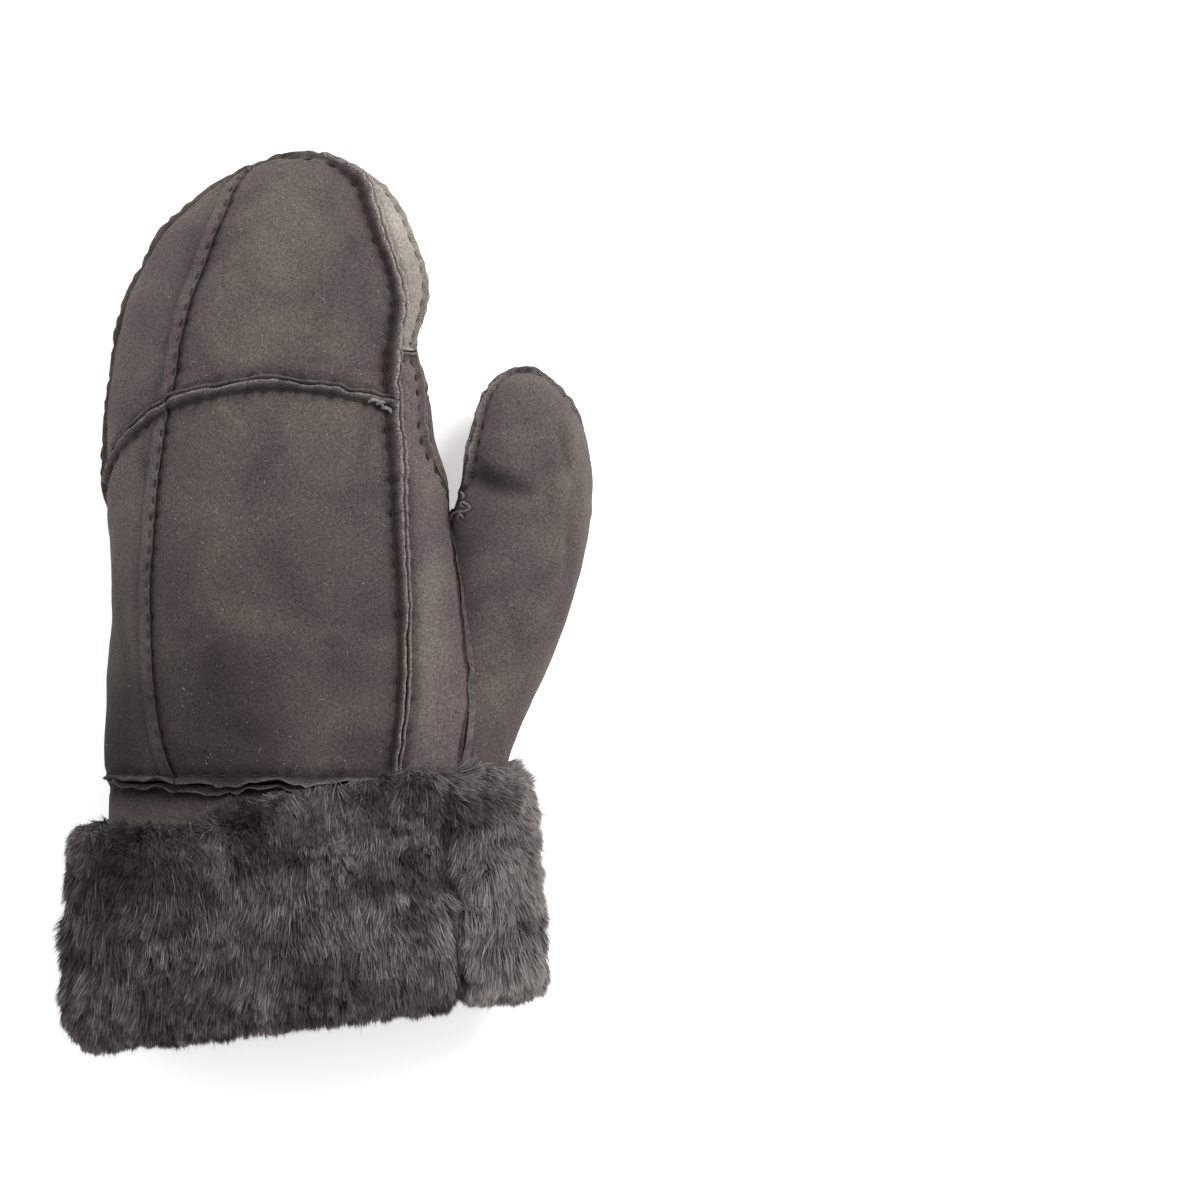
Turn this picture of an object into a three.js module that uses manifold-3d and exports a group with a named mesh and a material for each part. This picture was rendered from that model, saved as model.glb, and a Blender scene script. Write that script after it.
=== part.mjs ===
// A left-hand shearling mitten lying on its palm: suede side out, fur side in, and the cuff turned
// back so that its fur shows.  Every panel is a sheet of hide whose raw edges stand up at its seams.
//
// Frame: the origin is on the flat of the palm, +X points to the thumb, +Y to the fingertips and
// +Z up through the back of the hand.  Lengths are in millimetres, and angles in degrees.

import * as THREE from "three";
import Module from "manifold-3d";

// The hand
const HAND_LENGTH = 194; // from the wrist seam to the fingertips
const PALM_WIDTH = 106;
const PALM_THICK = 48;
const ORIGIN_ALONG = 0.42; // share of the hand's length at which the origin lies
const ROUNDNESS = 2.6; // 2 makes each section an ellipse, and more makes it flatter on top
const PILLOW_RISE = 2.2; // how far a panel swells between its seams

// The thumb
const THUMB_WIDTH = 43;
const THUMB_THICK = 38;
const THUMB_REACH = 45.5; // from the crotch to the thumb's tip

// The hide and its seams
const WALL = 2.2;
const SEAM_GAP = 0.4;
const TUCK_GAP = 0.8; // more room where a seam curves under the hand, out of sight
const CURVE_GAP = 0.25; // more room round a tip panel, whose seams curve
const WELT_RISE = 2.4; // raw edges of a seam on the back
const RIM_RISE = 1.5; // raw edges of a seam round the rim
const WELT_THICK = 1.2;
const WELT_FOOT = 0.4; // breadth of a raw edge's slanting foot

// The turned-back cuff
const CUFF_DEPTH = 67; // from the wrist seam to the fold, on the line of the origin
const CUFF_SLANT = 0.126; // rise of the fold towards the thumb, for each millimetre across
const CUFF_FLARE = 0.04; // share by which the wrist widens down to the fold
const EDGE_DROP = 7; // from the wrist seam to the cuff's free edge, on the line of the origin
const EDGE_SLANT = 0.14; // rise of the free edge towards the thumb, for each millimetre across
const EDGE_STANDOFF = 1; // between the free edge and the raw edges at the wrist seam
const FOLD_BULGE = 5; // how far the fold's fur stands past the fold
const BAND_REACH = 0.88; // share of the way to the fold at which the wrist band ends
const PILE = 10.5; // hide and fur outside the wrist band
const LINING = 6.5; // fur inside the wrist band
const LINING_START = 0.4; // share of the way to the fold at which the lining starts to show
const CUFF_CLEARANCE = 0.5; // on each side of the wrist band
const RING_POINTS = 36;

// The fur's locks
const LOCK_LENGTH = 20;
const LOCK_WIDTH = 18;
const LOCK_THICK = 8;
const LOCK_LIFT = 2; // how far a lock's tip stands off the fur
const LOCK_ROOT = 3; // how deep a lock's root lies in the fur
const LOCK_BOW = 1; // how far a lock's middle bows away from the fur
const LOCK_ROWS = 4;
const LAST_ROW_SHARE = 0.76; // share of the way to the fold at which the last row is rooted
const LOCKS_ROUND = 17;
const LOCK_SIDES = 4;
const LOCK_SHAPE = [
  { along: 0, width: 1, thickness: 1 },
  { along: 0.55, width: 1.05, thickness: 0.95 },
  { along: 1, width: 0.5, thickness: 0.35 },
];
const JOIN_ACROSS = 0.515; // where the fur's join runs, as a share of the palm's width
const JOIN_WIDTH = 5;
const JOIN_DEPTH = 6;

// One row for each section of the hand, from the wrist seam to the fingertips.  along is a share of
// the hand's length.  outer, outerSeam, innerSeam and inner are places across, as shares of the
// palm's width: the little finger's rim, the two long seams on the back, and the thumb's side.  top,
// rim and bottom are heights as shares of the palm's thickness.  open is how much of each half's
// height is open to the thumb.  sideWrap and palmWrap are how far, in degrees, the side panel runs
// on under the outer rim and the palm panel comes up over the inner one.
const HAND_COLUMNS = [
  "along", "outer", "outerSeam", "innerSeam", "inner", "top", "rim", "bottom", "open",
  "sideWrap", "palmWrap",
];
const HAND_ROWS = [
  [0.0, -0.49, -0.28, 0.35, 0.54, 1.12, 0.69, 0.25, 0.85, 30, 0],
  [0.06, -0.49, -0.32, 0.37, 0.555, 1.1, 0.63, 0.15, 0.8, 30, 0],
  [0.16, -0.48, -0.35, 0.385, 0.57, 1.06, 0.55, 0.02, 0.68, 30, 0],
  [0.3, -0.47, -0.36, 0.38, 0.54, 1.02, 0.5, -0.04, 0.45, 27, 0],
  [0.38, -0.48, -0.35, 0.37, 0.52, 1.0, 0.49, -0.05, 0.24, 20, 0],
  [0.42, -0.49, -0.345, 0.365, 0.51, 1.0, 0.49, -0.05, 0, 12, -6],
  [0.48, -0.495, -0.335, 0.36, 0.5, 0.99, 0.49, -0.05, 0, 0, 10],
  [0.54, -0.495, -0.32, 0.35, 0.468, 0.98, 0.49, -0.05, 0, 0, 18],
  [0.6, -0.49, -0.305, 0.345, 0.455, 0.97, 0.48, -0.05, 0, 0, 16],
  [0.64, -0.48, -0.285, 0.34, 0.43, 0.95, 0.48, -0.05, 0, 0, 9],
  [0.685, -0.47, -0.275, 0.342, 0.4, 0.92, 0.47, -0.05, 0, 0, 1],
  [0.72, -0.455, -0.262, 0.352, 0.41, 0.89, 0.46, -0.04, 0, 0, 0],
  [0.77, -0.43, -0.24, 0.36, 0.43, 0.84, 0.44, -0.03, 0, 0, 0],
  [0.82, -0.39, -0.205, 0.34, 0.425, 0.78, 0.42, -0.01, 0, 0, 0],
  [0.87, -0.34, -0.175, 0.305, 0.39, 0.72, 0.4, 0.01, 0, 0, 0],
  [0.91, -0.27, -0.145, 0.28, 0.36, 0.65, 0.38, 0.05, 0, 0, 0],
  [0.95, -0.18, -0.12, 0.255, 0.305, 0.57, 0.36, 0.11, 0, 0, 0],
  [0.98, -0.075, -0.075, 0.195, 0.225, 0.47, 0.34, 0.19, 0, 0, 0],
  [1.0, 0.03, 0.03, 0.13, 0.13, 0.33, 0.33, 0.33, 0, 0, 0],
];

// One row for each section of the thumb.  below is a share of the way from the wrist seam to the
// crotch, and above a share of the thumb's reach past it.  left and right are places across from the
// crotch, as shares of the thumb's width, and crest is half the section's height as a share of the
// thumb's thickness.  Below the crotch the left edge is the thumb seam.  seamWrap and foldWrap are
// how far, in degrees, the palm side comes up over the left rim and the back runs on under the right.
const THUMB_COLUMNS = ["below", "above", "left", "right", "crest", "seamWrap", "foldWrap"];
const THUMB_ROWS = [
  [0.0, 0, 0, 0.385, 0.35, 0, 40],
  [0.15, 0, 0, 0.46, 0.365, 0, 40],
  [0.3, 0, 0, 0.58, 0.39, 0, 40],
  [0.46, 0, 0, 0.72, 0.42, 0, 40],
  [0.61, 0, 0, 0.83, 0.45, 0, 40],
  [0.8, 0, 0, 0.94, 0.48, 0, 40],
  [1, 0.0, 0, 1.01, 0.49, 0, 40],
  [1, 0.12, 0.04, 1.025, 0.5, 10, 40],
  [1, 0.25, 0.08, 1.03, 0.5, 22, 38],
  [1, 0.42, 0.1, 1.01, 0.49, 26, 30],
  [1, 0.58, 0.14, 0.965, 0.465, 26, 14],
  [1, 0.73, 0.19, 0.89, 0.42, 24, 0],
  [1, 0.85, 0.27, 0.8, 0.36, 16, 0],
  [1, 0.94, 0.375, 0.695, 0.26, 6, 0],
  [1, 1.0, 0.485, 0.57, 0, 0, 0],
];

// The knuckle seam's place along the hand, for places across it as shares of the local width.
const KNUCKLE_COLUMNS = ["across", "along"];
const KNUCKLE_ROWS = [
  [0.0, 0.48],
  [0.05, 0.535],
  [0.2, 0.598],
  [0.45, 0.628],
  [0.7, 0.622],
  [1.0, 0.585],
];

const COLOURS = {
  suede: { color: 0x6a6058, roughness: 0.95, metalness: 0 },
  paleSuede: { color: 0x938a7f, roughness: 0.95, metalness: 0 },
  fur: { color: 0x4b4747, roughness: 1, metalness: 0 },
};

const lerp = (a, b, t) => a + (b - a) * t;
const clamp = (value, low, high) => Math.min(Math.max(value, low), high);
const radians = (degrees) => (degrees * Math.PI) / 180;

/** Turn rows of numbers into rows with named columns. */
function readTable(names, rows) {
  return rows.map((row) => Object.fromEntries(names.map((name, i) => [name, row[i]])));
}

/** Add a row past a closed tip that mirrors the row before it, so that the tip is rounded. */
function withRoundTip(table, mirrored) {
  const [before, tip] = table.slice(-2);
  const past = {};
  for (const name of Object.keys(tip)) {
    past[name] = mirrored.includes(name) ? before[name] : 2 * tip[name] - before[name];
  }
  return [...table, past];
}

/** The smooth value of one column at a place counted in rows, by a curve through its rows. */
function valueAt(table, name, place) {
  const row = clamp(Math.floor(place), 0, table.length - 2);
  const t = place - row;
  const b = table[row][name];
  const c = table[row + 1][name];
  const a = row > 0 ? table[row - 1][name] : 2 * b - c;
  const d = row + 2 < table.length ? table[row + 2][name] : 2 * c - b;
  return b + 0.5 * t * (c - a + t * (2 * a - 5 * b + 4 * c - d + t * (3 * (b - c) + d - a)));
}

/** The place, counted in rows, at which a measure that grows along a table reaches a value. */
function placeOf(measure, value, lastPlace) {
  let low = 0;
  let high = lastPlace;
  for (let step = 0; step < 30; step += 1) {
    const middle = (low + high) / 2;
    if (measure(middle) < value) low = middle;
    else high = middle;
  }
  return (low + high) / 2;
}

const HAND = withRoundTip(readTable(HAND_COLUMNS, HAND_ROWS), ["along", "rim"]);
const THUMB = withRoundTip(readTable(THUMB_COLUMNS, THUMB_ROWS), ["below", "above"]);
const KNUCKLE = readTable(KNUCKLE_COLUMNS, KNUCKLE_ROWS);
const HAND_TIP = HAND_ROWS.length - 1;
const THUMB_TIP = THUMB_ROWS.length - 1;
const WRIST_Y = -ORIGIN_ALONG * HAND_LENGTH;

const handAt = (name, place) => valueAt(HAND, name, place);
const handPlace = (along) => placeOf((place) => handAt("along", place), along, HAND_TIP);
const CROTCH_ROW = HAND_ROWS.findIndex((row) => row[HAND_COLUMNS.indexOf("open")] === 0);
const CROTCH_ALONG = HAND_ROWS[CROTCH_ROW][0];
const THUMB_CROTCH = THUMB_ROWS.findIndex((row) => row[0] === 1);
const CROTCH_X = handAt("inner", CROTCH_ROW) * PALM_WIDTH + SEAM_GAP;
const CROSS_SEAM = handPlace(0.685); // where the pale tip gusset meets the gusset below it

/** Half a section's height over the rim: an oval whose edge at one side is open by some height. */
function halfHeight(crest, open, cosine) {
  const oval = Math.max(crest * crest - (open * open) / 2, 0);
  const roundPart = (1 - Math.abs(cosine) ** ROUNDNESS) * oval;
  return Math.sqrt(Math.max(roundPart + (open * open * (1 - cosine)) / 2, 0));
}

/** Sizes of the hand's section at a place: edges, heights over and under the rim, and openings. */
function handSection(place) {
  const rim = handAt("rim", place) * PALM_THICK;
  const over = handAt("top", place) * PALM_THICK - rim;
  const under = rim - handAt("bottom", place) * PALM_THICK;
  const open = Math.max(handAt("open", place), 0);
  return {
    y: WRIST_Y + handAt("along", place) * HAND_LENGTH,
    left: handAt("outer", place) * PALM_WIDTH,
    right: handAt("inner", place) * PALM_WIDTH,
    rim, over, under,
    openOver: open * over,
    openUnder: open * under,
  };
}

/** Sizes of the thumb's section, which shares the hand's opening and rim height below the crotch. */
function thumbSection(place) {
  const below = Math.min(valueAt(THUMB, "below", place), 1);
  const above = Math.max(valueAt(THUMB, "above", place), 0);
  const along = below * CROTCH_ALONG + (above * THUMB_REACH) / HAND_LENGTH;
  const hand = handSection(handPlace(along));
  const crest = valueAt(THUMB, "crest", place) * THUMB_THICK;
  const joined = place < THUMB_CROTCH;
  const free = CROTCH_X + valueAt(THUMB, "left", place) * THUMB_WIDTH;
  return {
    y: WRIST_Y + along * HAND_LENGTH,
    left: joined ? hand.right + SEAM_GAP : free,
    right: CROTCH_X + valueAt(THUMB, "right", place) * THUMB_WIDTH,
    rim: hand.rim,
    over: crest,
    under: crest,
    openOver: joined ? hand.openOver : 0,
    openUnder: joined ? hand.openUnder : 0,
  };
}

/** A point of a section: angle 0 is its left rim, 180 degrees its right one, and the back between. */
function sectionPoint(section, angle, openSide) {
  const cosine = Math.cos(angle);
  const back = Math.sin(angle) >= 0;
  const crest = back ? section.over : section.under;
  const open = back ? section.openOver : section.openUnder;
  const rise = halfHeight(crest, open, openSide * cosine);
  const x = lerp(section.left, section.right, (1 - cosine) / 2);
  const z = back ? section.rim + rise : Math.max(section.rim - rise, 0);
  return new THREE.Vector3(x, section.y, z);
}

const handPoint = (angle, place) => sectionPoint(handSection(place), angle, 1);
const thumbPoint = (angle, place) => sectionPoint(thumbSection(place), angle, -1);

/** The outward normal of a surface, and how many millimetres a unit of angle and of place are. */
function surfaceFrame(point, angle, place, lastPlace) {
  const step = 0.01;
  const low = Math.max(place - step, 0);
  const high = Math.min(place + step, lastPlace);
  const across = point(angle + step, place).sub(point(angle - step, place));
  const along = point(angle, high).sub(point(angle, low));
  const normal = new THREE.Vector3().crossVectors(across, along).normalize();
  return {
    normal,
    perAngle: across.length() / (2 * step),
    perPlace: along.length() / (high - low),
  };
}

/** Angle of a place across the hand, given as a share of the palm's width. */
function handAngle(name, place) {
  const left = handAt("outer", place);
  const right = handAt("inner", place);
  const share = (handAt(name, place) - left) / Math.max(right - left, 1e-6);
  return Math.acos(clamp(1 - 2 * share, -1, 1));
}

/** Place along the hand of the knuckle seam at an angle round it. */
function knucklePlace(angle) {
  const across = (1 - Math.cos(Math.max(angle, 0))) / 2;
  const row = placeOf((place) => valueAt(KNUCKLE, "across", place), across, KNUCKLE.length - 1);
  return handPlace(valueAt(KNUCKLE, "along", row));
}

/** Steps from one border to the other: two for each raw edge, its foot, and even ones between. */
function steps(count) {
  const list = [{ from: 0, band: 0 }, { from: 0, band: 1 }, { from: 0, band: 2 }];
  for (let i = 1; i < count; i += 1) list.push({ share: i / count });
  list.push({ from: 1, band: 2 }, { from: 1, band: 1 }, { from: 1, band: 0 });
  return list;
}

/** The coordinate of a step between two borders, its bands being millimetres from its border. */
function stepAt(step, start, end, perUnitAtStart, perUnitAtEnd, tuck = 0) {
  const border = SEAM_GAP / 2 + tuck;
  const bands = [border, border + WELT_THICK, border + WELT_THICK + WELT_FOOT];
  const room = Math.max(end - start, 0);
  const inset = (band, perUnit) => Math.min(bands[band] / perUnit, (0.12 + 0.16 * band) * room);
  if (step.from === 0) return start + inset(step.band, perUnitAtStart);
  if (step.from === 1) return end - inset(step.band, perUnitAtEnd);
  const low = start + inset(2, perUnitAtStart);
  const high = end - inset(2, perUnitAtEnd);
  return lerp(low, high, step.share);
}

/**
 * A panel of hide: an outer skin with its raw edges standing up, an inner skin one wall below it,
 * and the borders between them.
 */
function panel(spec) {
  const { point, lastPlace, columns, rows, raised, pillow, lift, upright } = spec;
  const acrossSteps = steps(columns);
  const alongSteps = steps(rows);
  const outer = [];
  const inner = [];
  for (const alongStep of alongSteps) {
    for (const acrossStep of acrossSteps) {
      const { angle, place } = settle(spec, acrossStep, alongStep);
      const frame = surfaceFrame(point, angle, place, lastPlace);
      const swell = pillow * swellAt(acrossStep) * swellAt(alongStep);
      const base = point(angle, place).addScaledVector(frame.normal, swell);
      base.z = Math.max(base.z + lift, 0);
      const rise = edgeRise(raised, acrossStep, alongStep);
      const straightUp = upright && upright.from === acrossStep.from && place <= upright.upTo;
      const way = straightUp ? new THREE.Vector3(0, 0, Math.sign(lift)) : frame.normal;
      outer.push(base.clone().addScaledVector(way, rise));
      inner.push(base.clone().addScaledVector(frame.normal, -WALL));
    }
  }
  return closedSheet(outer, inner, acrossSteps.length, alongSteps.length);
}

/** Find the angle and place of a grid point, whose borders each depend on the other coordinate. */
function settle({ point, lastPlace, angles, places, tuck }, acrossStep, alongStep) {
  let place = (places[0](0) + places[1](0)) / 2;
  let angle = 0;
  for (let turn = 0; turn < 6; turn += 1) {
    const left = angles[0](place);
    const right = Math.max(angles[1](place), left);
    const atLeft = surfaceFrame(point, left, place, lastPlace).perAngle;
    const atRight = surfaceFrame(point, right, place, lastPlace).perAngle;
    angle = stepAt(acrossStep, left, right, atLeft, atRight, tuck);
    const bottom = places[0](angle);
    const top = places[1](angle);
    const atBottom = surfaceFrame(point, angle, bottom, lastPlace).perPlace;
    const atTop = surfaceFrame(point, angle, top, lastPlace).perPlace;
    place = stepAt(alongStep, bottom, top, atBottom, atTop, tuck);
  }
  return { angle, place };
}

/** How far a panel swells at a step: nothing at its borders and feet, and all in its middle. */
function swellAt(step) {
  return step.share === undefined ? 0 : Math.sin(Math.PI * step.share) ** 0.6;
}

/** How far the skin stands up at a grid point, if it lies on a raised border. */
function edgeRise(raised, acrossStep, alongStep) {
  const standing = (step) => step.band === 0 || step.band === 1;
  const borders = [
    standing(acrossStep) && acrossStep.from === 0 ? raised.left : 0,
    standing(acrossStep) && acrossStep.from === 1 ? raised.right : 0,
    standing(alongStep) && alongStep.from === 0 ? raised.bottom : 0,
    standing(alongStep) && alongStep.from === 1 ? raised.top : 0,
  ];
  return Math.max(...borders);
}

/** Join an outer and an inner skin, both grids, into one closed solid. */
function closedSheet(outer, inner, columns, rows) {
  const faces = [];
  const offset = outer.length;
  const at = (column, row) => row * columns + column;
  const quad = (a, b, c, d) => faces.push([a, b, c], [a, c, d]);
  for (let row = 0; row + 1 < rows; row += 1) {
    for (let column = 0; column + 1 < columns; column += 1) {
      const [a, b] = [at(column, row), at(column + 1, row)];
      const [c, d] = [at(column + 1, row + 1), at(column, row + 1)];
      quad(a, b, c, d);
      quad(offset + d, offset + c, offset + b, offset + a);
    }
  }
  for (let row = 0; row + 1 < rows; row += 1) {
    const [a, d] = [at(0, row), at(0, row + 1)];
    quad(a, d, offset + d, offset + a);
    const [b, c] = [at(columns - 1, row), at(columns - 1, row + 1)];
    quad(c, b, offset + b, offset + c);
  }
  for (let column = 0; column + 1 < columns; column += 1) {
    const [a, b] = [at(column, 0), at(column + 1, 0)];
    quad(b, a, offset + a, offset + b);
    const [d, c] = [at(column, rows - 1), at(column + 1, rows - 1)];
    quad(d, c, offset + c, offset + d);
  }
  return weld([...outer, ...inner], faces);
}

/** Put points on a fine grid, make equal ones one, and leave out the faces that this closes up. */
function weld(points, faces) {
  const grain = 0.01;
  const places = new Map();
  const kept = [];
  const index = points.map((point) => {
    const cells = [point.x, point.y, point.z].map((value) => Math.round(value / grain));
    const key = cells.join(" ");
    if (!places.has(key)) {
      places.set(key, kept.length);
      kept.push(cells.map((cell) => cell * grain));
    }
    return places.get(key);
  });
  const open = faces
    .map((face) => face.map((corner) => index[corner]))
    .filter(([a, b, c]) => a !== b && b !== c && c !== a);
  return { points: kept, faces: open };
}

function meshFrom({ points, faces }, name, look) {
  const geometry = new THREE.BufferGeometry();
  geometry.setAttribute("position", new THREE.Float32BufferAttribute(points.flat(), 3));
  geometry.setIndex(faces.flat());
  geometry.computeVertexNormals();
  const mesh = new THREE.Mesh(geometry, new THREE.MeshStandardMaterial(COLOURS[look]));
  mesh.name = name;
  return mesh;
}

const WRIST = () => 0;
const OUTER_RIM = () => 0;
const INNER_RIM = () => Math.PI;
const OUTER_SEAM = (place) => handAngle("outerSeam", place);
const INNER_SEAM = (place) => handAngle("innerSeam", place);
const UNDER_SIDE = (place) => -radians(Math.max(handAt("sideWrap", place), 0));
const PALM_EDGE = (place) => Math.PI - radians(Math.max(handAt("palmWrap", place), 0));
const HAND_END = () => HAND_TIP;
const OUTER_SEAM_END = () => HAND_TIP - 1; // the row at which the outer seam runs out into the rim
const THUMB_SEAM = (place) => radians(Math.max(valueAt(THUMB, "seamWrap", place), 0));
const THUMB_FOLD = (place) => Math.PI + radians(Math.max(valueAt(THUMB, "foldWrap", place), 0));

// Each panel's borders: angles from the little finger's side to the thumb's, and places from the
// wrist to the fingertips, with the rise of the raw edge at each border.
const PANELS = [
  {
    name: "side_panel", angles: [UNDER_SIDE, OUTER_SEAM], places: [WRIST, knucklePlace],
    columns: 6, rows: 10, raised: { left: 0, right: WELT_RISE, bottom: WELT_RISE, top: WELT_RISE },
    pillow: 0.5, back: true,
  },
  {
    name: "back_panel", angles: [OUTER_SEAM, INNER_SEAM], places: [WRIST, knucklePlace],
    columns: 6, rows: 10,
    raised: { left: WELT_RISE, right: WELT_RISE, bottom: WELT_RISE, top: WELT_RISE },
    pillow: 1, back: true,
  },
  {
    name: "inner_gusset", angles: [INNER_SEAM, PALM_EDGE], places: [WRIST, () => CROSS_SEAM],
    columns: 3, rows: 14,
    raised: { left: WELT_RISE, right: WELT_RISE, bottom: WELT_RISE, top: RIM_RISE },
    pillow: 0.3, back: true, upright: { from: 1, upTo: CROTCH_ROW + 1.5 },
  },
  {
    name: "side_tip_panel", angles: [OUTER_RIM, OUTER_SEAM], places: [knucklePlace, OUTER_SEAM_END],
    columns: 6, rows: 9,
    raised: { left: RIM_RISE, right: WELT_RISE, bottom: WELT_RISE, top: RIM_RISE },
    pillow: 0.5, back: true, tuck: CURVE_GAP,
  },
  {
    name: "back_tip_panel", angles: [OUTER_SEAM, INNER_SEAM], places: [knucklePlace, HAND_END],
    columns: 6, rows: 11,
    raised: { left: WELT_RISE, right: WELT_RISE, bottom: WELT_RISE, top: RIM_RISE },
    pillow: 1, back: true,
  },
  {
    name: "tip_gusset", angles: [INNER_SEAM, INNER_RIM], places: [() => CROSS_SEAM, HAND_END],
    columns: 3, rows: 8,
    raised: { left: WELT_RISE, right: RIM_RISE, bottom: RIM_RISE, top: RIM_RISE },
    pillow: 0.3, back: true, tuck: CURVE_GAP, look: "paleSuede",
  },
  {
    name: "palm_panel",
    angles: [(place) => PALM_EDGE(place) - 2 * Math.PI, UNDER_SIDE], places: [WRIST, HAND_END],
    columns: 10, rows: 14,
    raised: { left: RIM_RISE, right: RIM_RISE, bottom: RIM_RISE, top: RIM_RISE },
    pillow: 0, back: false, tuck: TUCK_GAP, upright: { from: 0, upTo: CROTCH_ROW + 0.6 },
  },
];

const THUMB_PANELS = [
  {
    name: "thumb_back", angles: [THUMB_SEAM, THUMB_FOLD], places: [WRIST, () => THUMB_TIP],
    columns: 7, rows: 13,
    raised: { left: RIM_RISE, right: 0, bottom: RIM_RISE, top: RIM_RISE },
    pillow: 0, back: true, upright: { from: 0, upTo: THUMB_CROTCH + 1.2 },
  },
  {
    name: "thumb_palm", angles: [THUMB_FOLD, (place) => THUMB_SEAM(place) + 2 * Math.PI],
    places: [WRIST, () => THUMB_TIP],
    columns: 5, rows: 13,
    raised: { left: 0, right: RIM_RISE, bottom: RIM_RISE, top: RIM_RISE },
    pillow: 0, back: false, tuck: TUCK_GAP, upright: { from: 1, upTo: THUMB_CROTCH + 1.2 },
  },
];

function panelMesh(spec, point, lastPlace) {
  const lift = spec.back ? SEAM_GAP / 2 : -SEAM_GAP / 2;
  const sheet = panel({ ...spec, point, lastPlace, pillow: spec.pillow * PILLOW_RISE, lift });
  return meshFrom(sheet, spec.name, spec.look ?? "suede");
}

/** The wrist's outline where the panels end, from the outer rim over the back and round. */
function wristOutline() {
  const points = [];
  const run = (point, from, to, count) => {
    for (let i = 0; i < count; i += 1) points.push(point(lerp(from, to, i / count), 0));
  };
  run(handPoint, 0, Math.PI, 20);
  run(thumbPoint, 0.2, Math.PI, 8);
  run(thumbPoint, Math.PI, 2 * Math.PI - 0.2, 8);
  run(handPoint, -Math.PI, 0, 20);
  return points.map(({ x, z }) => new THREE.Vector2(x, z));
}

/** Points spaced evenly round a closed outline, with its sharp valleys eased. */
function evenLoop(outline, count) {
  const curve = new THREE.SplineCurve([...outline, outline[0]]);
  const even = curve.getSpacedPoints(count).slice(0, count);
  return even.map((point, i) => {
    const before = even[(i + count - 1) % count];
    const after = even[(i + 1) % count];
    return point.clone().multiplyScalar(2).add(before).add(after).multiplyScalar(0.25);
  });
}

const LOOP = evenLoop(wristOutline(), RING_POINTS);
const LOOP_CENTRE = LOOP.reduce((sum, point) => sum.add(point), new THREE.Vector2())
  .multiplyScalar(1 / RING_POINTS);

/** A point of the loop, and the outward direction there, for a place counted in its points. */
function loopAt(place) {
  const index = Math.floor(place);
  const share = place - index;
  const pick = (i) => LOOP[((i % RING_POINTS) + RING_POINTS) % RING_POINTS];
  const point = pick(index).clone().lerp(pick(index + 1), share);
  const before = pick(index - 1).clone().lerp(pick(index), share);
  const after = pick(index + 1).clone().lerp(pick(index + 2), share);
  const run = after.sub(before).normalize();
  return { point, outward: new THREE.Vector2(-run.y, run.x) };
}

const foldY = (x) => WRIST_Y - CUFF_DEPTH + CUFF_SLANT * x;
const edgeY = (x) => WRIST_Y - EDGE_DROP + EDGE_SLANT * x;
const bandY = (x, share) => lerp(WRIST_Y - SEAM_GAP, foldY(x), share);
const cuffY = (x, share) => lerp(edgeY(x), foldY(x), share);

/** A point round the wrist, out from its outline and at some Y, where the cuff has flared a little. */
function ringPoint(place, out, yOf) {
  const { point, outward } = loopAt(place);
  const y = yOf(point.x);
  const scale = 1 + (CUFF_FLARE * (WRIST_Y - y)) / CUFF_DEPTH;
  const flared = point.clone().sub(LOOP_CENTRE).multiplyScalar(scale).add(LOOP_CENTRE);
  flared.addScaledVector(outward, out);
  return new THREE.Vector3(flared.x, y, flared.y);
}

/** A ring whose closed profile, a list of distances out and places down, runs round the wrist. */
function ring(profile) {
  const points = [];
  for (let place = 0; place < RING_POINTS; place += 1) {
    for (const { out, y } of profile) points.push(ringPoint(place, out, y));
  }
  const faces = [];
  const count = profile.length;
  for (let place = 0; place < RING_POINTS; place += 1) {
    const next = (place + 1) % RING_POINTS;
    for (let i = 0; i < count; i += 1) {
      const j = (i + 1) % count;
      const [a, b] = [place * count + i, place * count + j];
      const [c, d] = [next * count + j, next * count + i];
      faces.push([a, b, c], [a, c, d]);
    }
  }
  return weld(points, faces);
}

/** The wrist band: a suede tube whose raised top edge is the other half of the wrist seam. */
function wristBand() {
  const down = (distance) => (x) => bandY(x, 0) - distance;
  const reach = (share) => (x) => bandY(x, share);
  return ring([
    { out: -WALL, y: down(0) },
    { out: WELT_RISE, y: down(0) },
    { out: WELT_RISE, y: down(WELT_THICK) },
    { out: 0, y: down(WELT_THICK + WELT_FOOT) },
    { out: 0, y: reach(BAND_REACH) },
    { out: -WALL, y: reach(BAND_REACH) },
  ]);
}

/** The turned-back cuff without its locks: outside leg, fold, lining, and a slot for the band. */
function cuffBody() {
  const at = (share, past = 0) => (x) => cuffY(x, share) - past;
  const slotEnd = (x) => bandY(x, BAND_REACH) - CUFF_CLEARANCE;
  const inner = -WALL - CUFF_CLEARANCE;
  return ring([
    { out: WELT_RISE + EDGE_STANDOFF, y: at(0) },
    { out: PILE * 0.7, y: at(0) },
    { out: PILE, y: at(0.12) },
    { out: PILE, y: at(0.5) },
    { out: PILE, y: at(0.9) },
    { out: PILE * 0.7, y: at(1, FOLD_BULGE * 0.6) },
    { out: 0, y: at(1, FOLD_BULGE) },
    { out: inner - LINING * 0.7, y: at(1, FOLD_BULGE * 0.4) },
    { out: inner - LINING, y: at(0.9) },
    { out: inner - LINING, y: at(LINING_START + 0.1) },
    { out: inner - LINING * 0.3, y: at(LINING_START) },
    { out: inner, y: at(LINING_START) },
    { out: inner, y: slotEnd },
    { out: CUFF_CLEARANCE, y: slotEnd },
  ]);
}

/** A repeatable run of numbers between 0 and 1. */
function numbersFrom(seed) {
  let state = seed;
  return () => {
    state = (Math.imul(state, 1664525) + 1013904223) >>> 0;
    return state / 2 ** 32;
  };
}

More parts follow.
